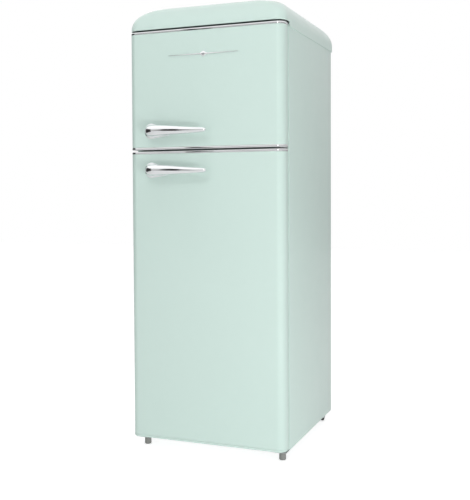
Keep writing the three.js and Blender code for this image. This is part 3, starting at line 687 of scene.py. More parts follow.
def door_skin(door):
    """Steel wrap of a door: front, sides and a narrow return behind each side."""
    span = Span(f"{door}_door_skin")
    sheet, return_x = 0.001, span.x1 - 0.014

    def skin(grow, back):
        outline = door_plan(grow, back)
        rear = len(outline) // 2
        right, left = outline[rear : rear + 11], outline[rear + 11 :]
        wrap = left + outline[:rear] + right
        return [(-return_x, wrap[0][1])] + wrap + [(return_x, wrap[-1][1])]

    outline = skin(0, 0.049) + skin(-sheet, 0.049 - sheet)[::-1]
    Piece(f"{door}_door_wrap").prism(outline, "z", span.z0, span.z1).finish(
        f"{door}_door", "enamel", f"{door}_door_skin")


def door_cap(door, end, slot):
    """End cap of a door: a rounded moulding with a hollow inside and a bush for the hinge pin."""
    node = f"{door}_door_cap_{end}"
    span = Span(node)
    up = 1 if end == "top" else -1
    outer = span.z1 if up > 0 else span.z0
    height, crown, proud = 0.0080, 0.0028, 0.0006
    rings = []

    def ring(grow, down):
        back = 0.049 + min(grow, 0)
        rings.append([(x, y, outer - up * down) for x, y in door_plan(grow, back)])

    ring(-0.002, 0.0025)
    ring(-0.002, height)
    ring(-0.0006, height)
    ring(0.0001, height - 0.0004)
    ring(0.0004, height - 0.0016)
    ring(proud, height - 0.0034)
    for turn in quarter_turn(6):
        ring(proud - crown * (1 - math.cos(turn)), crown * (1 - math.sin(turn)))
    Piece(f"{door}_cap_{end}").loft(rings).finish(f"{door}_door", slot, node)
    hinge_x, hinge_y = (Span("hinge_middle_bracket").x1 - 0.011), behind(0.035)
    bush = Piece(f"{door}_bush_{end}")
    profile = [
        (0.0043, 0), (0.0078, 0), (0.0078, -0.0006), (0.0082, -0.0010), (0.0082, -0.012), (0.0043, -0.012),
    ]
    bush.turned([(r, h + 0.0003) for r, h in profile], (hinge_x, hinge_y, outer), (0, 0, up), 32, loop=True)
    bush.finish(f"{door}_door", "liner_white")


def door_lining(door, lugs):
    """Inner panel of a door with its raised rim, sunk field and the lugs that the bins hang on."""
    span = Span(f"{door}_door_liner")
    dyke_x = (-0.200, 0.197) if door == "freezer" else (-0.208, 0.205)
    room = Span(f"{door}_liner")
    margin = 0.016 + (0.010 if door == "freezer" else 0.012)
    dyke_z = (room.z0 + margin, room.z1 - margin)
    reach, base, width = span.y1, behind(0.049), 0.022
    rings = []

    def ring(x, z, inset, y, corner):
        outline = rounded(x[0] + inset, x[1] - inset, z[0] + inset, z[1] - inset, corner, 6)
        rings.append([(u, y, v) for u, v in outline])

    ring((span.x0, span.x1), (span.z0, span.z1), 0, base, 0.002)
    fillet, steps = 0.004, 4
    for turn in quarter_turn(steps):
        ring(dyke_x, dyke_z, -fillet * (1 - math.sin(turn)), base + fillet * (1 - math.cos(turn)), 0.012)
    for turn in quarter_turn(steps):
        inset = 0.001 + fillet * (1 - math.cos(turn))
        ring(dyke_x, dyke_z, inset, reach - fillet * (1 - math.sin(turn)), 0.012)
    for turn in quarter_turn(steps):
        inset = width - fillet * (1 - math.sin(turn))
        ring(dyke_x, dyke_z, inset, reach - fillet * (1 - math.cos(turn)), 0.010)
    for turn in quarter_turn(steps):
        inset = width + 0.001 + fillet * (1 - math.cos(turn))
        ring(dyke_x, dyke_z, inset, base + 0.0004 + fillet * (1 - math.sin(turn)), 0.010)
    piece = Piece(f"{door}_door_lining").loft(rings, caps=False)
    piece.bm.faces.ensure_lookup_table()
    last = piece.bm.verts[-len(rings[-1]) :]
    piece.bm.faces.new(last)
    piece.thicken(-0.0015)
    for z0, z1 in lugs:
        for x, side in ((dyke_x[0] + width, 1), (dyke_x[1] - width, -1)):
            x0, x1 = sorted((x - side * 0.001, x + side * 0.0032))
            piece.box((x0, base + 0.006, z0), (x1, reach - 0.008, z1), 0.0014, 2)
    piece.finish(f"{door}_door", "liner_white", f"{door}_door_liner")


def door_seal(door):
    """Magnetic seal: one folded bellows profile mitred round the door."""
    node = f"{door}_door_gasket"
    span = Span(node)
    width = 0.016
    deep = span.y1 - span.y0
    profile = (
        (0.05, 0.00), (0.95, 0.00), (1.00, 0.10), (0.97, 0.22), (0.80, 0.30), (0.78, 0.38), (0.98, 0.46),
        (1.00, 0.56), (0.96, 0.90), (0.90, 1.00), (0.30, 1.00), (0.24, 0.90), (0.22, 0.62), (0.10, 0.54),
        (0.02, 0.44), (0.14, 0.34), (0.12, 0.26), (0.00, 0.14),
    )
    corners = (
        (span.x0, span.z0, 1, 1), (span.x1, span.z0, -1, 1),
        (span.x1, span.z1, -1, -1), (span.x0, span.z1, 1, -1),
    )
    rings = []
    for x, z, sx, sz in corners:
        ring = []
        for w, d in profile:
            inward = (1 - w) * width
            ring.append((x + sx * inward, span.y0 + d * deep, z + sz * inward))
        rings.append(ring)
    Piece(f"{door}_door_seal").loft(rings, loop=True).finish(f"{door}_door", "seal_rubber", node)


def handle_rose(door):
    """Stepped rose that carries the grip: two circles joined by their tangents, in thinning layers."""
    rose = Span(f"{door}_handle_rose")
    z = rose.cz
    left, right = Vector((rose.x0 + 0.025, 0)), Vector((rose.x1 - 0.011, -0.005))
    radius = {"left": 0.025, "right": 0.011}
    slope = math.acos((radius["left"] - radius["right"]) / (right - left).length)
    outline = []
    for centre, r, start, end, steps in (
        (left, radius["left"], slope, 2 * math.pi - slope, 40), (right, radius["right"], -slope, slope, 14),
    ):
        for i in range(steps + 1):
            angle = start + (end - start) * i / steps
            outline.append(centre + Vector((math.cos(angle), math.sin(angle))) * r)
    middle = Vector((rose.x0 + 0.040, 0))
    layers = (
        (0.0003, 1.0), (0.0018, 1.0), (0.0026, 0.97), (0.0029, 0.92), (0.0029, 0.90), (0.0040, 0.885),
        (0.0052, 0.85), (0.0060, 0.79), (0.0063, 0.73), (0.0062, 0.70), (0.0072, 0.66), (0.0076, 0.58),
    )
    rings = []
    for proud, size in layers:
        points = [middle + (p - middle) * size for p in outline]
        rings.append([(p.x, behind(-proud), z + p.y) for p in points])
    Piece(f"{door}_rose").loft(rings).finish(f"{door}_door", "chrome", f"{door}_handle_rose")


def handle_grip(door):
    """Horn-shaped grip that curls out of the rose and sinks a little towards its tip."""
    grip = Span(f"{door}_handle_grip")
    root, tip, sink = -0.150, -0.010, 0.0025
    sections = (
        # place along x, depth in front of the door, direction in degrees, half thickness, half height
        (-0.186, 0.0070, 0, 0.0190, 0.0185),
        (-0.1855, 0.0110, 3, 0.0188, 0.0185),
        (-0.185, 0.0140, 8, 0.0185, 0.0185),
        (-0.181, 0.0210, 32, 0.0170, 0.0182),
        (-0.173, 0.0270, 56, 0.0150, 0.0180),
        (-0.161, 0.0310, 76, 0.0130, 0.0176),
        (-0.145, 0.0320, 90, 0.0120, 0.0170),
        (-0.110, 0.0325, 90, 0.0110, 0.0153),
        (-0.070, 0.0330, 90, 0.0100, 0.0130),
        (-0.030, 0.0330, 90, 0.0090, 0.0106),
        (0.000, 0.0330, 90, 0.0080, 0.0088),
        (0.013, 0.0330, 90, 0.0068, 0.0074),
        (0.019, 0.0330, 90, 0.0046, 0.0050),
        (0.0218, 0.0330, 90, 0.0014, 0.0015),
    )
    sides = 40
    rings = []
    for x, proud, turn, thick, tall in eased(sections, 5):
        angle = math.radians(turn)
        along = min(max((x - root) / (tip - root), 0), 1)
        centre = grip.cz - sink * along * along * (3 - 2 * along)
        ring = []
        for i in range(sides):
            round_ = 2 * math.pi * i / sides
            across = thick * math.cos(round_)
            out = min(x + across * math.cos(angle), grip.x1)
            ring.append((out, behind(-proud) + across * math.sin(angle), centre + tall * math.sin(round_)))
        rings.append(ring)
    Piece(f"{door}_grip").loft(rings).finish(f"{door}_door", "chrome", f"{door}_handle_grip")


def ornament():
    """Plain spear with a small lozenge, ridged along its middle."""
    span = Span("door_ornament")
    half, high = span.x1, (span.z1 - span.z0) / 2
    upper = [(1, 0.02), (0.94, 0.13), (0.13, 0.27), (0.075, 0.36), (0.03, 0.80), (0, 1)]
    quarter = [(x * half, v * high) for x, v in upper]
    top = quarter + [(-x, v) for x, v in quarter[-2::-1]]
    outline = top + [(x, -v) for x, v in top[::-1]]
    rings = []
    for proud, tall, length in ((0, 1, 1), (0.0012, 0.98, 1), (0.0020, 0.72, 0.993), (0.0027, 0.30, 0.985)):
        rings.append([(x * length, span.y1 - proud, span.cz + v * tall) for x, v in outline])
    Piece("ornament_spear").loft(rings).finish("freezer_door", "chrome", "door_ornament")


def bin_of(name, node, body):
    """Clear bin with a rolled front edge, a dipped middle and thin walls."""
    span = Span(node)
    wall, corner, dip = 0.0022, 0.010, 0.28
    height = span.z1 - span.z0

    def ring(inset, z):
        outline = rounded(span.x0 + inset, span.x1 - inset, span.y0 + inset, span.y1 - inset,
                          (0.002, 0.002, corner - inset, corner - inset), 6)
        made = []
        quarter = 7
        front, rest = outline[:quarter * 2], outline[quarter * 2:]
        right_arc, left_arc = rest[:quarter], rest[quarter:]
        x1 = right_arc[-1][0]
        edge = right_arc[-1][1]
        half = (0.98, 0.84, 0.80, 0.76, 0.72, 0.66, 0.4, 0.1)
        shares = (*half, *(-share for share in reversed(half)))
        middle = [(x1 * s, edge) for s in shares]
        for x, y in front + right_arc + middle + left_arc:
            share = min(max((0.84 - abs(x) / x1) / 0.18, 0), 1)
            sunk = dip * height * share * share * (3 - 2 * share) if y > edge - 1e-4 and z > span.cz else 0
            made.append((x, y, z - sunk))
        return made

    rings = [ring(0.004, span.z0), ring(0.001, span.z0 + 0.002), ring(0, span.z0 + 0.006)]
    rings += [ring(0, span.z1 - 0.004), ring(-0.0006, span.z1 - 0.0025), ring(-0.0002, span.z1 - 0.0004)]
    rings += [ring(0.0012, span.z1), ring(wall, span.z1 - 0.0012), ring(wall + 0.0004, span.z0 + 0.006)]
    rings.append(ring(wall + 0.003, span.z0 + wall))
    Piece(name).loft(rings).finish(body, "clear_plastic", node)


def doors():
    bins = {
        "freezer": {"freezer_bin_clear": "freezer_door_bin"},
        "fridge": {"upper_bin_clear": "door_bin_upper", "middle_bin_clear": "door_bin_middle",
                   "bottle_bin_clear": "bottle_bin"},
    }
    for door, lower_slot in (("freezer", "chrome"), ("fridge", "enamel")):
        door_skin(door)
        door_cap(door, "top", "chrome")
        door_cap(door, "bottom", lower_slot)
        lugs = []
        for name, node in bins[door].items():
            bin_of(name, node, f"{door}_door")
            span = Span(node)
            lugs.append((span.z0 + 0.02, span.z1 - 0.03))
        door_lining(door, lugs)
        door_seal(door)
        handle_rose(door)
        handle_grip(door)
    ornament()


# ---- Inside the compartments ----


def shelves():
    """Glass shelves, each with a moulded strip on its front edge, and the glass over the crisper."""
    for name in ("upper", "lower"):
        span = Span(f"glass_shelf_{name}")
        z0 = span.z0 + 0.004
        glass = Piece(f"shelf_pane_{name}").box(
            (span.x0, span.y0 + 0.003, z0), (span.x1, span.y1, z0 + 0.004), 0.0008, 2)
        glass.finish(CABINET, "shelf_glass", f"glass_shelf_{name}")
        trim = Piece(f"shelf_trim_{name}")
        front, low, high = span.y0, span.z0, span.z1
        for y0, y1, z_low, z_high in (
            (front, front + 0.0028, low, high), (front, front + 0.012, z0 - 0.0022, z0 - 0.0002),
            (front, front + 0.010, z0 + 0.0042, high),
        ):
            trim.box((span.x0, y0, z_low), (span.x1, y1, z_high), 0.0009, 2)
        trim.finish(CABINET, "liner_white")
    span = Span("crisper_cover")
    Piece("crisper_pane").box(span.lo, span.hi, 0.0008, 2).finish(CABINET, "shelf_glass", "crisper_cover")
    trim = Piece("crisper_trim")
    lo = (span.x0, span.y0 - 0.002, span.z0 - 0.0015)
    hi = (span.x1, span.y0 + 0.0008, span.z1 + 0.0030)
    trim.box(lo, hi, 0.0009, 2)
    trim.finish(CABINET, "liner_white")


def wire_shelf():
    """Coated wire shelf: a rim with rounded corners, cross wires and three stiffening rods."""
    span = Span("freezer_wire_shelf")
    rim, wire = 0.0024, 0.0016
    x1, y0, y1 = span.x1 - rim, span.y0 + rim, span.y1 - rim
    z = span.z1 - rim
    piece = Piece("wire_grid")
    corner = rounded(-x1, x1, y0, y1, 0.012, 6)
    loop_ring = []
    for i, (x, y) in enumerate(corner):
        after, before = Vector(corner[(i + 1) % len(corner)]), Vector(corner[i - 1])
        along = (after - before).normalized()
        out = Vector((along.y, -along.x))
        angles = [2 * math.pi * k / 10 for k in range(10)]
        loop_ring.append([
            (x + out.x * rim * math.cos(a), y + out.y * rim * math.cos(a), z + rim * math.sin(a))
            for a in angles
        ])
    piece.loft(loop_ring, loop=True)
    wires = 29
    for i in range(1, wires):
        x = -x1 + 2 * x1 * i / wires
        piece.tube([(x, y0, z + 0.0008), (x, y1, z + 0.0008)], wire, 8)
    for share in (0.27, 0.5, 0.73):
        y = y0 + (y1 - y0) * share
        piece.tube([(-x1 + 0.007, y, z - 0.0018), (x1 - 0.007, y, z - 0.0018)], 0.0018, 8)
    piece.finish(CABINET, "coated_wire", "freezer_wire_shelf")


def crisper():
    """Clear drawer with rounded corners, a rolled rim and a finger ledge."""
    span = Span("crisper_drawer")
    wall, corner = 0.003, 0.014

    def ring(inset, z, lean=0.0):
        low = inset + lean
        outline = rounded(span.x0 + low, span.x1 - low, span.y0 + inset, span.y1 - low, corner - inset, 7)
        return [(x, y, z) for x, y in outline]

    rings = [ring(0.006, span.z0, 0.003), ring(0.0015, span.z0 + 0.002, 0.003)]
    rings.append(ring(0, span.z0 + 0.007, 0.003))
    rings += [ring(0, span.z1 - 0.010, 0.0012), ring(0, span.z1 - 0.008), ring(0, span.z1 - 0.001)]
    rings += [ring(0.001, span.z1), ring(wall - 0.0006, span.z1), ring(wall, span.z1 - 0.001)]
    rings += [ring(wall, span.z0 + 0.008, 0.003), ring(wall + 0.004, span.z0 + wall, 0.003)]
    piece = Piece("crisper_box").loft(rings)
    piece.box((-0.085, span.y0 + 0.002, 0.262), (0.085, span.y0 + 0.018, 0.2655), 0.0012, 2)
    piece.box((-0.085, span.y0 + 0.0145, 0.252), (0.085, span.y0 + 0.018, 0.2655), 0.0012, 2)
    piece.finish("crisper_drawer", "clear_plastic", "crisper_drawer")


def controls():
    """Control housing with its vents, the lamp lens, the dial and the lamp switch."""
    span = Span("control_housing")
    switch = Span("light_switch_plunger")
    outline = rounded(span.y0, span.y1, span.z0, span.z1, (0.012, 0.012, 0.0008, 0.0008), 6)
    bore = Piece("bore").turned([(0.0044, -0.02), (0.0044, 0.03)], (switch.cx, span.y0, switch.cz), REAR, 24)
    vents = Piece("vents")
    slots = 7
    for i in range(slots):
        x = -0.078 + 0.010 * i
        lo = (x, span.y0 - 0.01, span.z0 + 0.012)
        vents.box(lo, (x + 0.004, span.y0 + 0.006, span.z0 + 0.030), 0.0008, 2)
    Piece("control_box").prism(outline, "x", span.x0, span.x1).finish(
        CABINET, "liner_white", "control_housing", bevel=0.0015, cutters=(bore, vents))

    lens = Span("light_lens")
    cap = Piece("lamp_lens")
    cap.box((lens.x0, lens.y0, lens.z1 - 0.0027), lens.hi, 0.0008, 2)
    ridges = 11
    pitch = (lens.y1 - lens.y0 - 0.012) / ridges
    for i in range(ridges):
        y = lens.y0 + 0.006 + pitch * (i + 0.5)
        z = lens.z1 - 0.0035
        cap.tube([(lens.x0 + 0.006, y, z), (lens.x1 - 0.006, y, z)], pitch * 0.62, 12)
    cap.finish(CABINET, "clear_plastic", "light_lens")

    knob = Span("thermostat_knob")
    centre = (knob.cx, behind(0.150), knob.z1)
    dial = Piece("dial_knob")
    profile = [
        (0.0175, 0), (0.018, 0.0006), (0.018, 0.0040), (0.0172, 0.0050), (0.0145, 0.0054),
        (0.0140, 0.0062), (0.0136, 0.0130), (0.0124, 0.0140), (0.0060, 0.0141),
    ]
    dial.turned(profile, centre, DOWN, 48)
    flutes = 20
    for i in range(flutes):
        angle = 2 * math.pi * i / flutes
        x, y = centre[0] + 0.0139 * math.cos(angle), centre[1] + 0.0139 * math.sin(angle)
        dial.tube([(x, y, knob.z1 - 0.0060), (x, y, knob.z1 - 0.0128)], 0.0008, 8)
    dial.box((centre[0] - 0.0022, centre[1] - 0.016, knob.z0 + 0.0002),
             (centre[0] + 0.0022, centre[1] + 0.012, knob.z1 - 0.004), 0.0008, 2)
    dial.finish("thermostat_knob", "liner_white", "thermostat_knob")

    plunger = Piece("switch_plunger")
    profile = [
        (0.0022, 0), (0.0032, 0.0004), (0.0038, 0.0014), (0.0040, 0.0028),
        (0.0040, switch.y1 - switch.y0),
    ]
    plunger.turned(profile, (switch.cx, switch.y0, switch.cz), REAR, 24)
    plunger.finish("light_switch_plunger", "liner_white", "light_switch_plunger")


# ---- Machine bay ----


def compressor():
    """Welded oval can on its foot plate, with grommets, bolts and short tube stubs."""
    span = Span("compressor")
    place = Vector((span.cx, span.cy, span.z0 + 0.003))
    profile = [
        (0.040, 0), (0.046, 0.0006), (0.052, 0.004), (0.056, 0.010), (0.0585, 0.024), (0.060, 0.040),
        (0.060, 0.0765), (0.0630, 0.0775), (0.0640, 0.0790), (0.0640, 0.0840), (0.0630, 0.0858),
        (0.0600, 0.0868), (0.0597, 0.1000), (0.0583, 0.1180), (0.0550, 0.1340), (0.0480, 0.1460),
        (0.0380, 0.1540), (0.0260, 0.1590), (0.0120, 0.1617), (0.0040, 0.1620),
    ]
    piece = Piece("compressor_can").turned(profile, place, UP, 64, 1.28)
    foot = rounded(span.x0, span.x1, span.cy - 0.034, span.cy + 0.034, 0.014, 6)
    piece.prism(foot, "z", span.z0, span.z0 + 0.004)
    for x, y in ((0.028, -0.020), (-0.028, -0.020)):
        piece.turned([(0.004, 0), (0.004, 0.012), (0.0032, 0.014)], place + Vector((x, y, 0.150)), UP, 16)
    piece.finish(CABINET, "black_metal", "compressor", bevel=0.0006)

    grommets, bolts = Piece("compressor_grommets"), Piece("compressor_bolts")
    washer = [(0.0045, -0.004), (0.0045, 0.009), (0.0085, 0.0091), (0.0085, 0.0104)]
    hexagon = [(0.0056, 0.0104), (0.0060, 0.0110), (0.0060, 0.0150), (0.0050, 0.0158)]
    ring = [
        (0.005, -0.0055), (0.0095, -0.0055), (0.0095, -0.0008), (0.0070, -0.0004), (0.0070, 0.0044),
        (0.0092, 0.0050), (0.0092, 0.0085), (0.0050, 0.0088),
    ]
    for side in (-1, 1):
        for end in (-1, 1):
            spot = Vector((span.cx + side * 0.088, span.cy + end * 0.022, span.z0))
            grommets.turned(ring, spot, UP, 24, loop=True)
            bolts.turned(washer, spot, UP, 24)
            bolts.turned(hexagon, spot, UP, 6)
    grommets.finish(CABINET, "black_rubber")
    bolts.finish(CABINET, "hinge_steel")


def relay():
    """Snap-on cover of the start relay with cooling slots and a wire clip."""
    span = Span("start_relay_cover")
    slots = Piece("slots")
    count = 6
    for i in range(count):
        z = span.z0 + 0.010 + 0.0075 * i
        lo = (span.x0 - 0.01, span.cy - 0.018, z)
        slots.box(lo, (span.x0 + 0.003, span.cy + 0.018, z + 0.0032), 0.0008, 2)
    body = Piece("relay_box").box(span.lo, (span.x1, span.y1, span.z1 - 0.006), 0.004, 3)
    body.finish(CABINET, "black_metal", "start_relay_cover", cutters=(slots,))
    lid = Piece("relay_lid").box((span.x0 + 0.006, span.y0 + 0.006, span.z1 - 0.008),
                                 (span.x1 - 0.007, span.y1 - 0.006, span.z1), 0.002, 2)
    lo = (span.x0 - 0.001, span.cy - 0.004, span.z0 + 0.02)
    lid.box(lo, (span.x0 + 0.004, span.cy + 0.004, span.z1), 0.001, 2)
    lid.finish(CABINET, "black_metal")


def drip_tray():
    """Evaporation tray over the compressor with a rolled rim."""
    span = Span("evaporation_tray")
    wall, corner = 0.002, 0.012

    def ring(inset, z):
        x0, x1, y0, y1 = span.x0 + inset, span.x1 - inset, span.y0 + inset, span.y1 - inset
        outline = rounded(x0, x1, y0, y1, corner - min(inset, 0.01), 7)
        return [(x, y, z) for x, y in outline]

    rings = [ring(0.007, span.z0), ring(0.0035, span.z0 + 0.002), ring(0.0025, span.z0 + 0.006)]
    rings += [ring(0.0018, span.z1 - 0.003), ring(0, span.z1 - 0.0022), ring(0, span.z1 - 0.0006)]
    rings += [ring(0.0008, span.z1), ring(0.0035, span.z1), ring(0.0042, span.z1 - 0.001)]
    rings += [ring(0.0045, span.z0 + 0.006), ring(0.0075, span.z0 + wall)]
    Piece("drip_pan").loft(rings).finish(CABINET, "grey_plastic", "evaporation_tray")


def tubing():
    """Drain, suction line, capillary and filter drier."""
    drain = [(0.040, 0.519, 0.330), (0.040, 0.533, 0.327), (0.040, 0.533, 0.246)]
    path = filleted([(x, behind(depth), z) for x, depth, z in drain], 0.014, 8)
    Piece("drain_hose").tube(path, 0.005, 20).finish(CABINET, "grey_plastic", "drain_tube")

    suction = [(0.204, 0.430, 0.261), (0.204, 0.430, 0.180), (0.190, 0.446, 0.158), (0.142, 0.474, 0.150)]
    path = filleted([(x, behind(depth), z) for x, depth, z in suction], 0.03, 10)
    Piece("suction_line").tube(path, 0.0035, 16).finish(CABINET, "copper", "suction_pipe")

    drier = Span("filter_drier")
    profile = [
        (0.0020, 0), (0.0021, 0.017), (0.0028, 0.0195), (0.0055, 0.0225), (0.0082, 0.0258),
        (0.0090, 0.030), (0.0090, 0.088), (0.0084, 0.0915), (0.0060, 0.0955), (0.0034, 0.0985),
        (0.0026, 0.1010), (0.0026, 0.108),
    ]
    Piece("drier_shell").turned(profile, (drier.cx, drier.cy, drier.z0), UP, 32).finish(
        CABINET, "copper", "filter_drier")
    coil = [(drier.cx, drier.cy, drier.z0 + 0.002), (drier.cx, drier.cy, drier.z0 - 0.008)]
    turns, radius, steps = 3, 0.013, 20
    start = Vector((drier.cx - radius, drier.cy - 0.012, drier.z0 - 0.014))
    for i in range(turns * steps + 1):
        angle = 2 * math.pi * i / steps
        along = 0.0028 * i / steps - 0.004
        coil.append(start + Vector((radius * math.cos(angle), along, radius * math.sin(angle))))
    coil += [(0.190, behind(0.470), 0.130), (0.210, behind(0.436), 0.170), (0.210, behind(0.430), 0.261)]
    Piece("capillary").tube(filleted(coil, 0.006, 3), 0.0011, 8).finish(CABINET, "copper")


def condenser():
    """Wire-on-tube condenser: the serpentine, its steel wires and the straps that hold it off the back."""
    half, bend, passes, bottom, radius = 0.178, 0.031, 13, 0.316, 0.0025
    y = behind(0.5775)
    start = [
        (0.060, 0.5415, 0.140), (0.060, 0.560, 0.141), (0.064, 0.5765, 0.160), (0.078, 0.5775, 0.195),
        (0.104, 0.5775, 0.275), (0.126, 0.5775, bottom - 0.010), (0.150, 0.5775, bottom),
    ]
    path = filleted([(x, behind(depth), z) for x, depth, z in start], 0.02, 6)
    for lap in range(passes):
        z = bottom + 2 * bend * lap
        side = -1 if lap % 2 else 1
        path.append(Vector((side * half, y, z)))
        steps = 12
        for i in range(1, steps + 1):
            if lap + 1 < passes:
                angle = math.pi * i / steps
                x = side * (half + bend * math.sin(angle))
                path.append(Vector((x, y, z + bend * (1 - math.cos(angle)))))
    top = bottom + 2 * bend * (passes - 1)
    tail = half + bend + 0.012
    down = [
        (tail - 0.03, 0.5775, top), (tail, 0.5775, top - 0.004), (tail, 0.5775, 0.262),
        (tail - 0.014, 0.565, 0.242), (0.193, 0.541, 0.232), (0.191, 0.539, 0.222),
    ]
    path += filleted([path[-1]] + [(x, behind(depth), z) for x, depth, z in down], 0.02, 6)[1:]
    Piece("condenser_tube").tube(path, radius, 12).finish(CABINET, "black_metal", "condenser_coil")

    wires = Piece("condenser_wires")
    count, wire = 27, 0.0008
    for i in range(count):
        x = -0.171 + 0.342 * i / (count - 1)
        for face in (-1, 1):
            depth = y + face * (radius + wire * 0.8)
            wires.tube([(x, depth, bottom - 0.012), (x, depth, top + 0.012)], wire, 6)
    wires.finish(CABINET, "black_metal")

    straps, screws = Piece("condenser_straps"), Piece("condenser_screws")
    panel = Span("back_panel").y1
    for side in (-1, 1):
        for z in (bottom + bend, top - bend):
            x = side * 0.200
            lo = (x - 0.009, y - radius - 0.0012, z - 0.034)
            straps.box(lo, (x + 0.009, y - radius, z + 0.034), 0.0005, 1)
            straps.box((x - 0.009, panel, z - 0.008), (x + 0.009, y - radius, z + 0.008), 0.001, 2)
            screws.screw((x, y - radius, z), REAR, 0.0042)
    straps.finish(CABINET, "hinge_steel")
    screws.finish(CABINET, "hinge_steel")


def gland():
    """Snap-in gland with a flange on each side of its tab and finger ribs behind."""
    span = Span("cord_gland")
    length = span.y1 - span.y0
    profile = [
        (0.0036, 0), (0.0082, 0), (0.0090, 0.0008), (0.0090, 0.0034), (0.0066, 0.0037), (0.0066, 0.0063),
        (0.0094, 0.0065), (0.0100, 0.0075), (0.0100, 0.0100), (0.0092, 0.0109), (0.0066, 0.0112),
        (0.0062, length), (0.0036, length),
    ]
    Piece("gland_bush").turned(profile, (span.cx, span.y0, span.cz), REAR, 36, loop=True).finish(
        CABINET, "black_rubber", "cord_gland")


# ---- Hinges, feet and rollers ----


def fixings():
    """Screw heads on the hinge plates, the foot brackets and the cover."""
    screws = Piece("hinge_screws")
    middle = Span("hinge_middle_bracket")
    for rise in (-0.0085, 0.0085):
        screws.screw((middle.x0 + 0.008, behind(0.0537), middle.cz + rise), FRONT, 0.003)
    for node, side in (("hinge_bottom_bracket", 1), ("foot_bracket_left", -1)):
        span = Span(node)
        for x in (0.233, 0.255):
            screws.turned([(0.0055, 0), (0.0058, 0.0004), (0.0058, 0.0032), (0.0050, 0.0038)],
                          (side * x, behind(0.095), span.z0), DOWN, 6)
    screws.finish(CABINET, "hinge_steel")
    cover_span = Span("top_cover")
    rear = Piece("cover_screws")
    for x in (-0.2, 0.2):
        rear.screw((x, cover_span.y1, cover_span.z0 + 0.010), REAR, 0.004)
    rear.finish(CABINET, "hinge_steel")


def levelling_foot(name):
    """Moulded foot with a hexagon on it and a threaded stud."""
    node = f"levelling_foot_{name}"
    span = Span(node)
    centre = (span.cx, span.cy, span.z0)
    piece = Piece(f"foot_pad_{name}")
    profile = [
        (0.0085, 0), (0.0100, 0.0005), (0.0111, 0.0018), (0.0114, 0.0040), (0.0112, 0.0170),
        (0.0108, 0.0195), (0.0098, 0.0218), (0.0080, 0.0226),
    ]
    piece.turned(profile, centre, UP, 40)
    piece.turned([(0.0080, 0.0220), (0.0085, 0.0226), (0.0085, 0.0280), (0.0078, 0.0286)], centre, UP, 6)
    piece.finish(node, "grey_plastic", node)

    stud = Piece(f"foot_stud_{name}")
    pitch, steps = 0.00125, 16
    turns = int((span.z1 - span.z0 - 0.0285) / pitch)
    section = ((0.0034, 0.0), (0.0042, 0.5), (0.0034, 1.0))
    rings = []
    for i in range(turns * steps + 1):
        angle = 2 * math.pi * i / steps
        ring = []
        for r, rise in section + ((0.0004, 1.0), (0.0004, 0.0)):
            z = span.z0 + 0.0280 + pitch * (i / steps + rise)
            ring.append((span.cx + r * math.cos(angle), span.cy + r * math.sin(angle), z))
        rings.append(ring)
    stud.loft(rings)
    stud.finish(node, "hinge_steel")


def roller(name):
    """Wheel with a rounded tread edge and lightened faces."""
    node = f"rear_roller_{name}"
    span = Span(node)
    half, r = (span.x1 - span.x0) / 2, (span.z1 - span.z0) / 2
    profile = [
        (0.0044, -half), (0.0075, -half), (0.0082, -half + 0.0022), (0.0128, -half + 0.0022),
        (0.0140, -half), (r - 0.0012, -half), (r - 0.0002, -half + 0.0012), (r, -half + 0.004),
        (r, half - 0.004), (r - 0.0002, half - 0.0012), (r - 0.0012, half), (0.0140, half),
        (0.0128, half - 0.0022), (0.0082, half - 0.0022), (0.0075, half), (0.0044, half),
    ]
    piece = Piece(f"roller_{name}").turned(profile, (span.cx, span.cy, span.cz), RIGHT, 48, loop=True)
    piece.finish(node, "black_rubber", node)


# ---- Camera, light and floor ----


EYE = (1.055, -2.677, 0.864)
EYE_TURN = (88, 0.27, 21.5)  # degrees


def camera():
    """The view that the pictures are taken from: a little above the handles, from the right."""
    data = bpy.data.cameras.new("camera")
    eye = bpy.data.objects.new("camera", data)
    bpy.context.scene.collection.objects.link(eye)
    eye.location = EYE
    eye.rotation_euler = [math.radians(angle) for angle in EYE_TURN]
    data.lens = 58.6
    data.sensor_width = 36
    data.shift_y = -0.06
    bpy.context.scene.camera = eye


WORLD_CAST = 0.25
FLOOR_CAST = 0.29
LAMPS = (
    # name, place, target, size, power
    ("key", (-1.4, -5.0, 1.0), (0, 0, 0.7), (4.0, 2.6), 35),
    ("right_low", (2.2, -1.6, 0.2), (0.27, 0, 0.25), (1.4, 0.3), 25),
    ("top", (0.2, -0.6, 3.8), (0, 0, 0), (3.0, 2.4), 35),
    ("top_front", (0.2, -2.8, 3.2), (0, 0, 1.35), (2.4, 1.2), 30),
)


def softbox(name, place, target, size, power):
    """A soft light that polished surfaces don't mirror."""
    data = bpy.data.lights.new(name, "AREA")
    data.shape = "RECTANGLE"
    data.size, data.size_y = size
    data.energy = power
    lamp = bpy.data.objects.new(name, data)
    bpy.context.scene.collection.objects.link(lamp)
    lamp.location = place
    lamp.rotation_euler = (Vector(target) - Vector(place)).to_track_quat("-Z", "Y").to_euler()
    lamp.visible_glossy = False


def studio_card(name, corners, glow):
    """A board or a strip of light that only polished surfaces see."""
    mesh = bpy.data.meshes.new(name)
    mesh.from_pydata(corners, [], [range(len(corners))])
    board = bpy.data.objects.new(name, mesh)
    bpy.context.scene.collection.objects.link(board)
    material = bpy.data.materials.new(name)
    material.use_nodes = True
    nodes, links = material.node_tree.nodes, material.node_tree.links
    nodes.clear()
    shine = nodes.new("ShaderNodeEmission")
    shine.inputs["Strength"].default_value = glow
    out = nodes.new("ShaderNodeOutputMaterial")
    links.new(shine.outputs["Emission"], out.inputs["Surface"])
    mesh.materials.append(material)
    board.visible_camera = False
    board.visible_diffuse = False
    board.visible_shadow = False
    board.visible_transmission = False


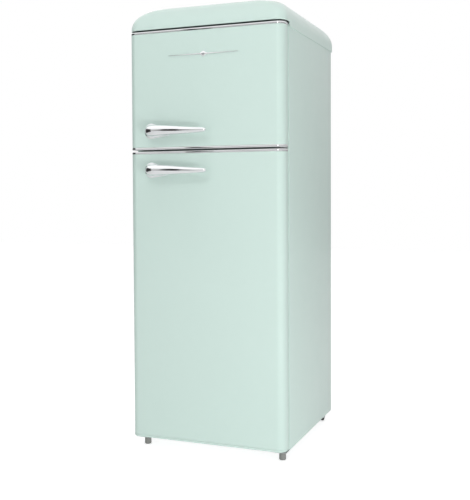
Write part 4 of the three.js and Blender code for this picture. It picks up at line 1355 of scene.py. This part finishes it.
def surroundings():
    """White to the camera, dim for the general light, and brighter overhead for mirrored rays."""
    world = bpy.data.worlds.new("studio")
    bpy.context.scene.world = world
    world.use_nodes = True
    nodes, links = world.node_tree.nodes, world.node_tree.links
    nodes.clear()
    path = nodes.new("ShaderNodeLightPath")
    seen, cast, mirrored = (nodes.new("ShaderNodeBackground") for _ in range(3))
    seen.inputs["Color"].default_value = (1, 1, 1, 1)
    cast.inputs["Color"].default_value = (0.97, 0.985, 1, 1)
    cast.inputs["Strength"].default_value = WORLD_CAST
    direction = nodes.new("ShaderNodeSeparateXYZ")
    links.new(nodes.new("ShaderNodeTexCoord").outputs["Generated"], direction.inputs["Vector"])
    sky = nodes.new("ShaderNodeMapRange")
    sky.inputs["From Min"].default_value, sky.inputs["From Max"].default_value = 0.0, 0.5
    sky.inputs["To Min"].default_value, sky.inputs["To Max"].default_value = 0.55, 1.5
    links.new(direction.outputs["Z"], sky.inputs["Value"])
    links.new(sky.outputs["Result"], mirrored.inputs["Strength"])
    choose_mirrored, choose_seen = nodes.new("ShaderNodeMixShader"), nodes.new("ShaderNodeMixShader")
    out = nodes.new("ShaderNodeOutputWorld")
    links.new(path.outputs["Is Glossy Ray"], choose_mirrored.inputs["Fac"])
    links.new(cast.outputs["Background"], choose_mirrored.inputs[1])
    links.new(mirrored.outputs["Background"], choose_mirrored.inputs[2])
    links.new(path.outputs["Is Camera Ray"], choose_seen.inputs["Fac"])
    links.new(choose_mirrored.outputs["Shader"], choose_seen.inputs[1])
    links.new(seen.outputs["Background"], choose_seen.inputs[2])
    links.new(choose_seen.outputs["Shader"], out.inputs["Surface"])


def floor():
    """A plain pale floor, lifted towards white where the camera sees it."""
    mesh = bpy.data.meshes.new("floor")
    reach = 9
    corners = [(-reach, -reach, 0), (reach, -reach, 0), (reach, reach, 0), (-reach, reach, 0)]
    mesh.from_pydata(corners, [], [range(4)])
    ground = bpy.data.objects.new("floor", mesh)
    bpy.context.scene.collection.objects.link(ground)
    s = Shader("floor", (0.80, 0.80, 0.80), 0.7)
    s.tint(s.ranged(s.noise(3, 3), 0, 0.3), (0.83, 0.83, 0.83))
    s.set(emission_color=(1, 1, 1, 1))
    path = s.nodes.new("ShaderNodeLightPath")
    lift = s.ranged(path.outputs["Is Camera Ray"], FLOOR_CAST, 0.75, (0, 1))
    s.links.new(lift, s.main.inputs["Emission Strength"])
    mesh.materials.append(s.done())


def studio():
    """White surroundings, a pale floor, soft light from the front, and boards for the chrome to mirror."""
    surroundings()
    floor()
    for lamp in LAMPS:
        softbox(*lamp)
    edge = [(-0.757, -2.180, 0.22), (-0.855, -2.135, 0.26), (-0.870, -2.125, 0.60), (-0.960, -2.080, 0.60)]
    below = [(x, y, 1.10 - half) for x, y, half in edge]
    above = [(x, y, 1.10 + half) for x, y, half in reversed(edge)]
    studio_card("dark_board", below + above, 0.01)
    near, far = (-2.5, -2.4), (-2.5, 0.4)
    studio_card("left_board", [(*near, 0.3), (*far, 0.3), (*far, 1.9), (*near, 1.9)], 0.04)
    left, right = (0.98, -4.23), (1.25, -4.16)
    studio_card("bright_strip", [(*left, 0.1), (*right, 0.1), (*right, 2.4), (*left, 2.4)], 6.0)
    bpy.context.scene.view_settings.view_transform = "Standard"


camera()
studio()
dress_frame()
cover()
for hand, direction in (("left", -1), ("right", 1)):
    side_sheet(hand, direction)
    levelling_foot(hand)
    roller(hand)
back_sheet()
compartments()
doors()
shelves()
wire_shelf()
crisper()
controls()
compressor()
relay()
drip_tray()
tubing()
condenser()
gland()
fixings()
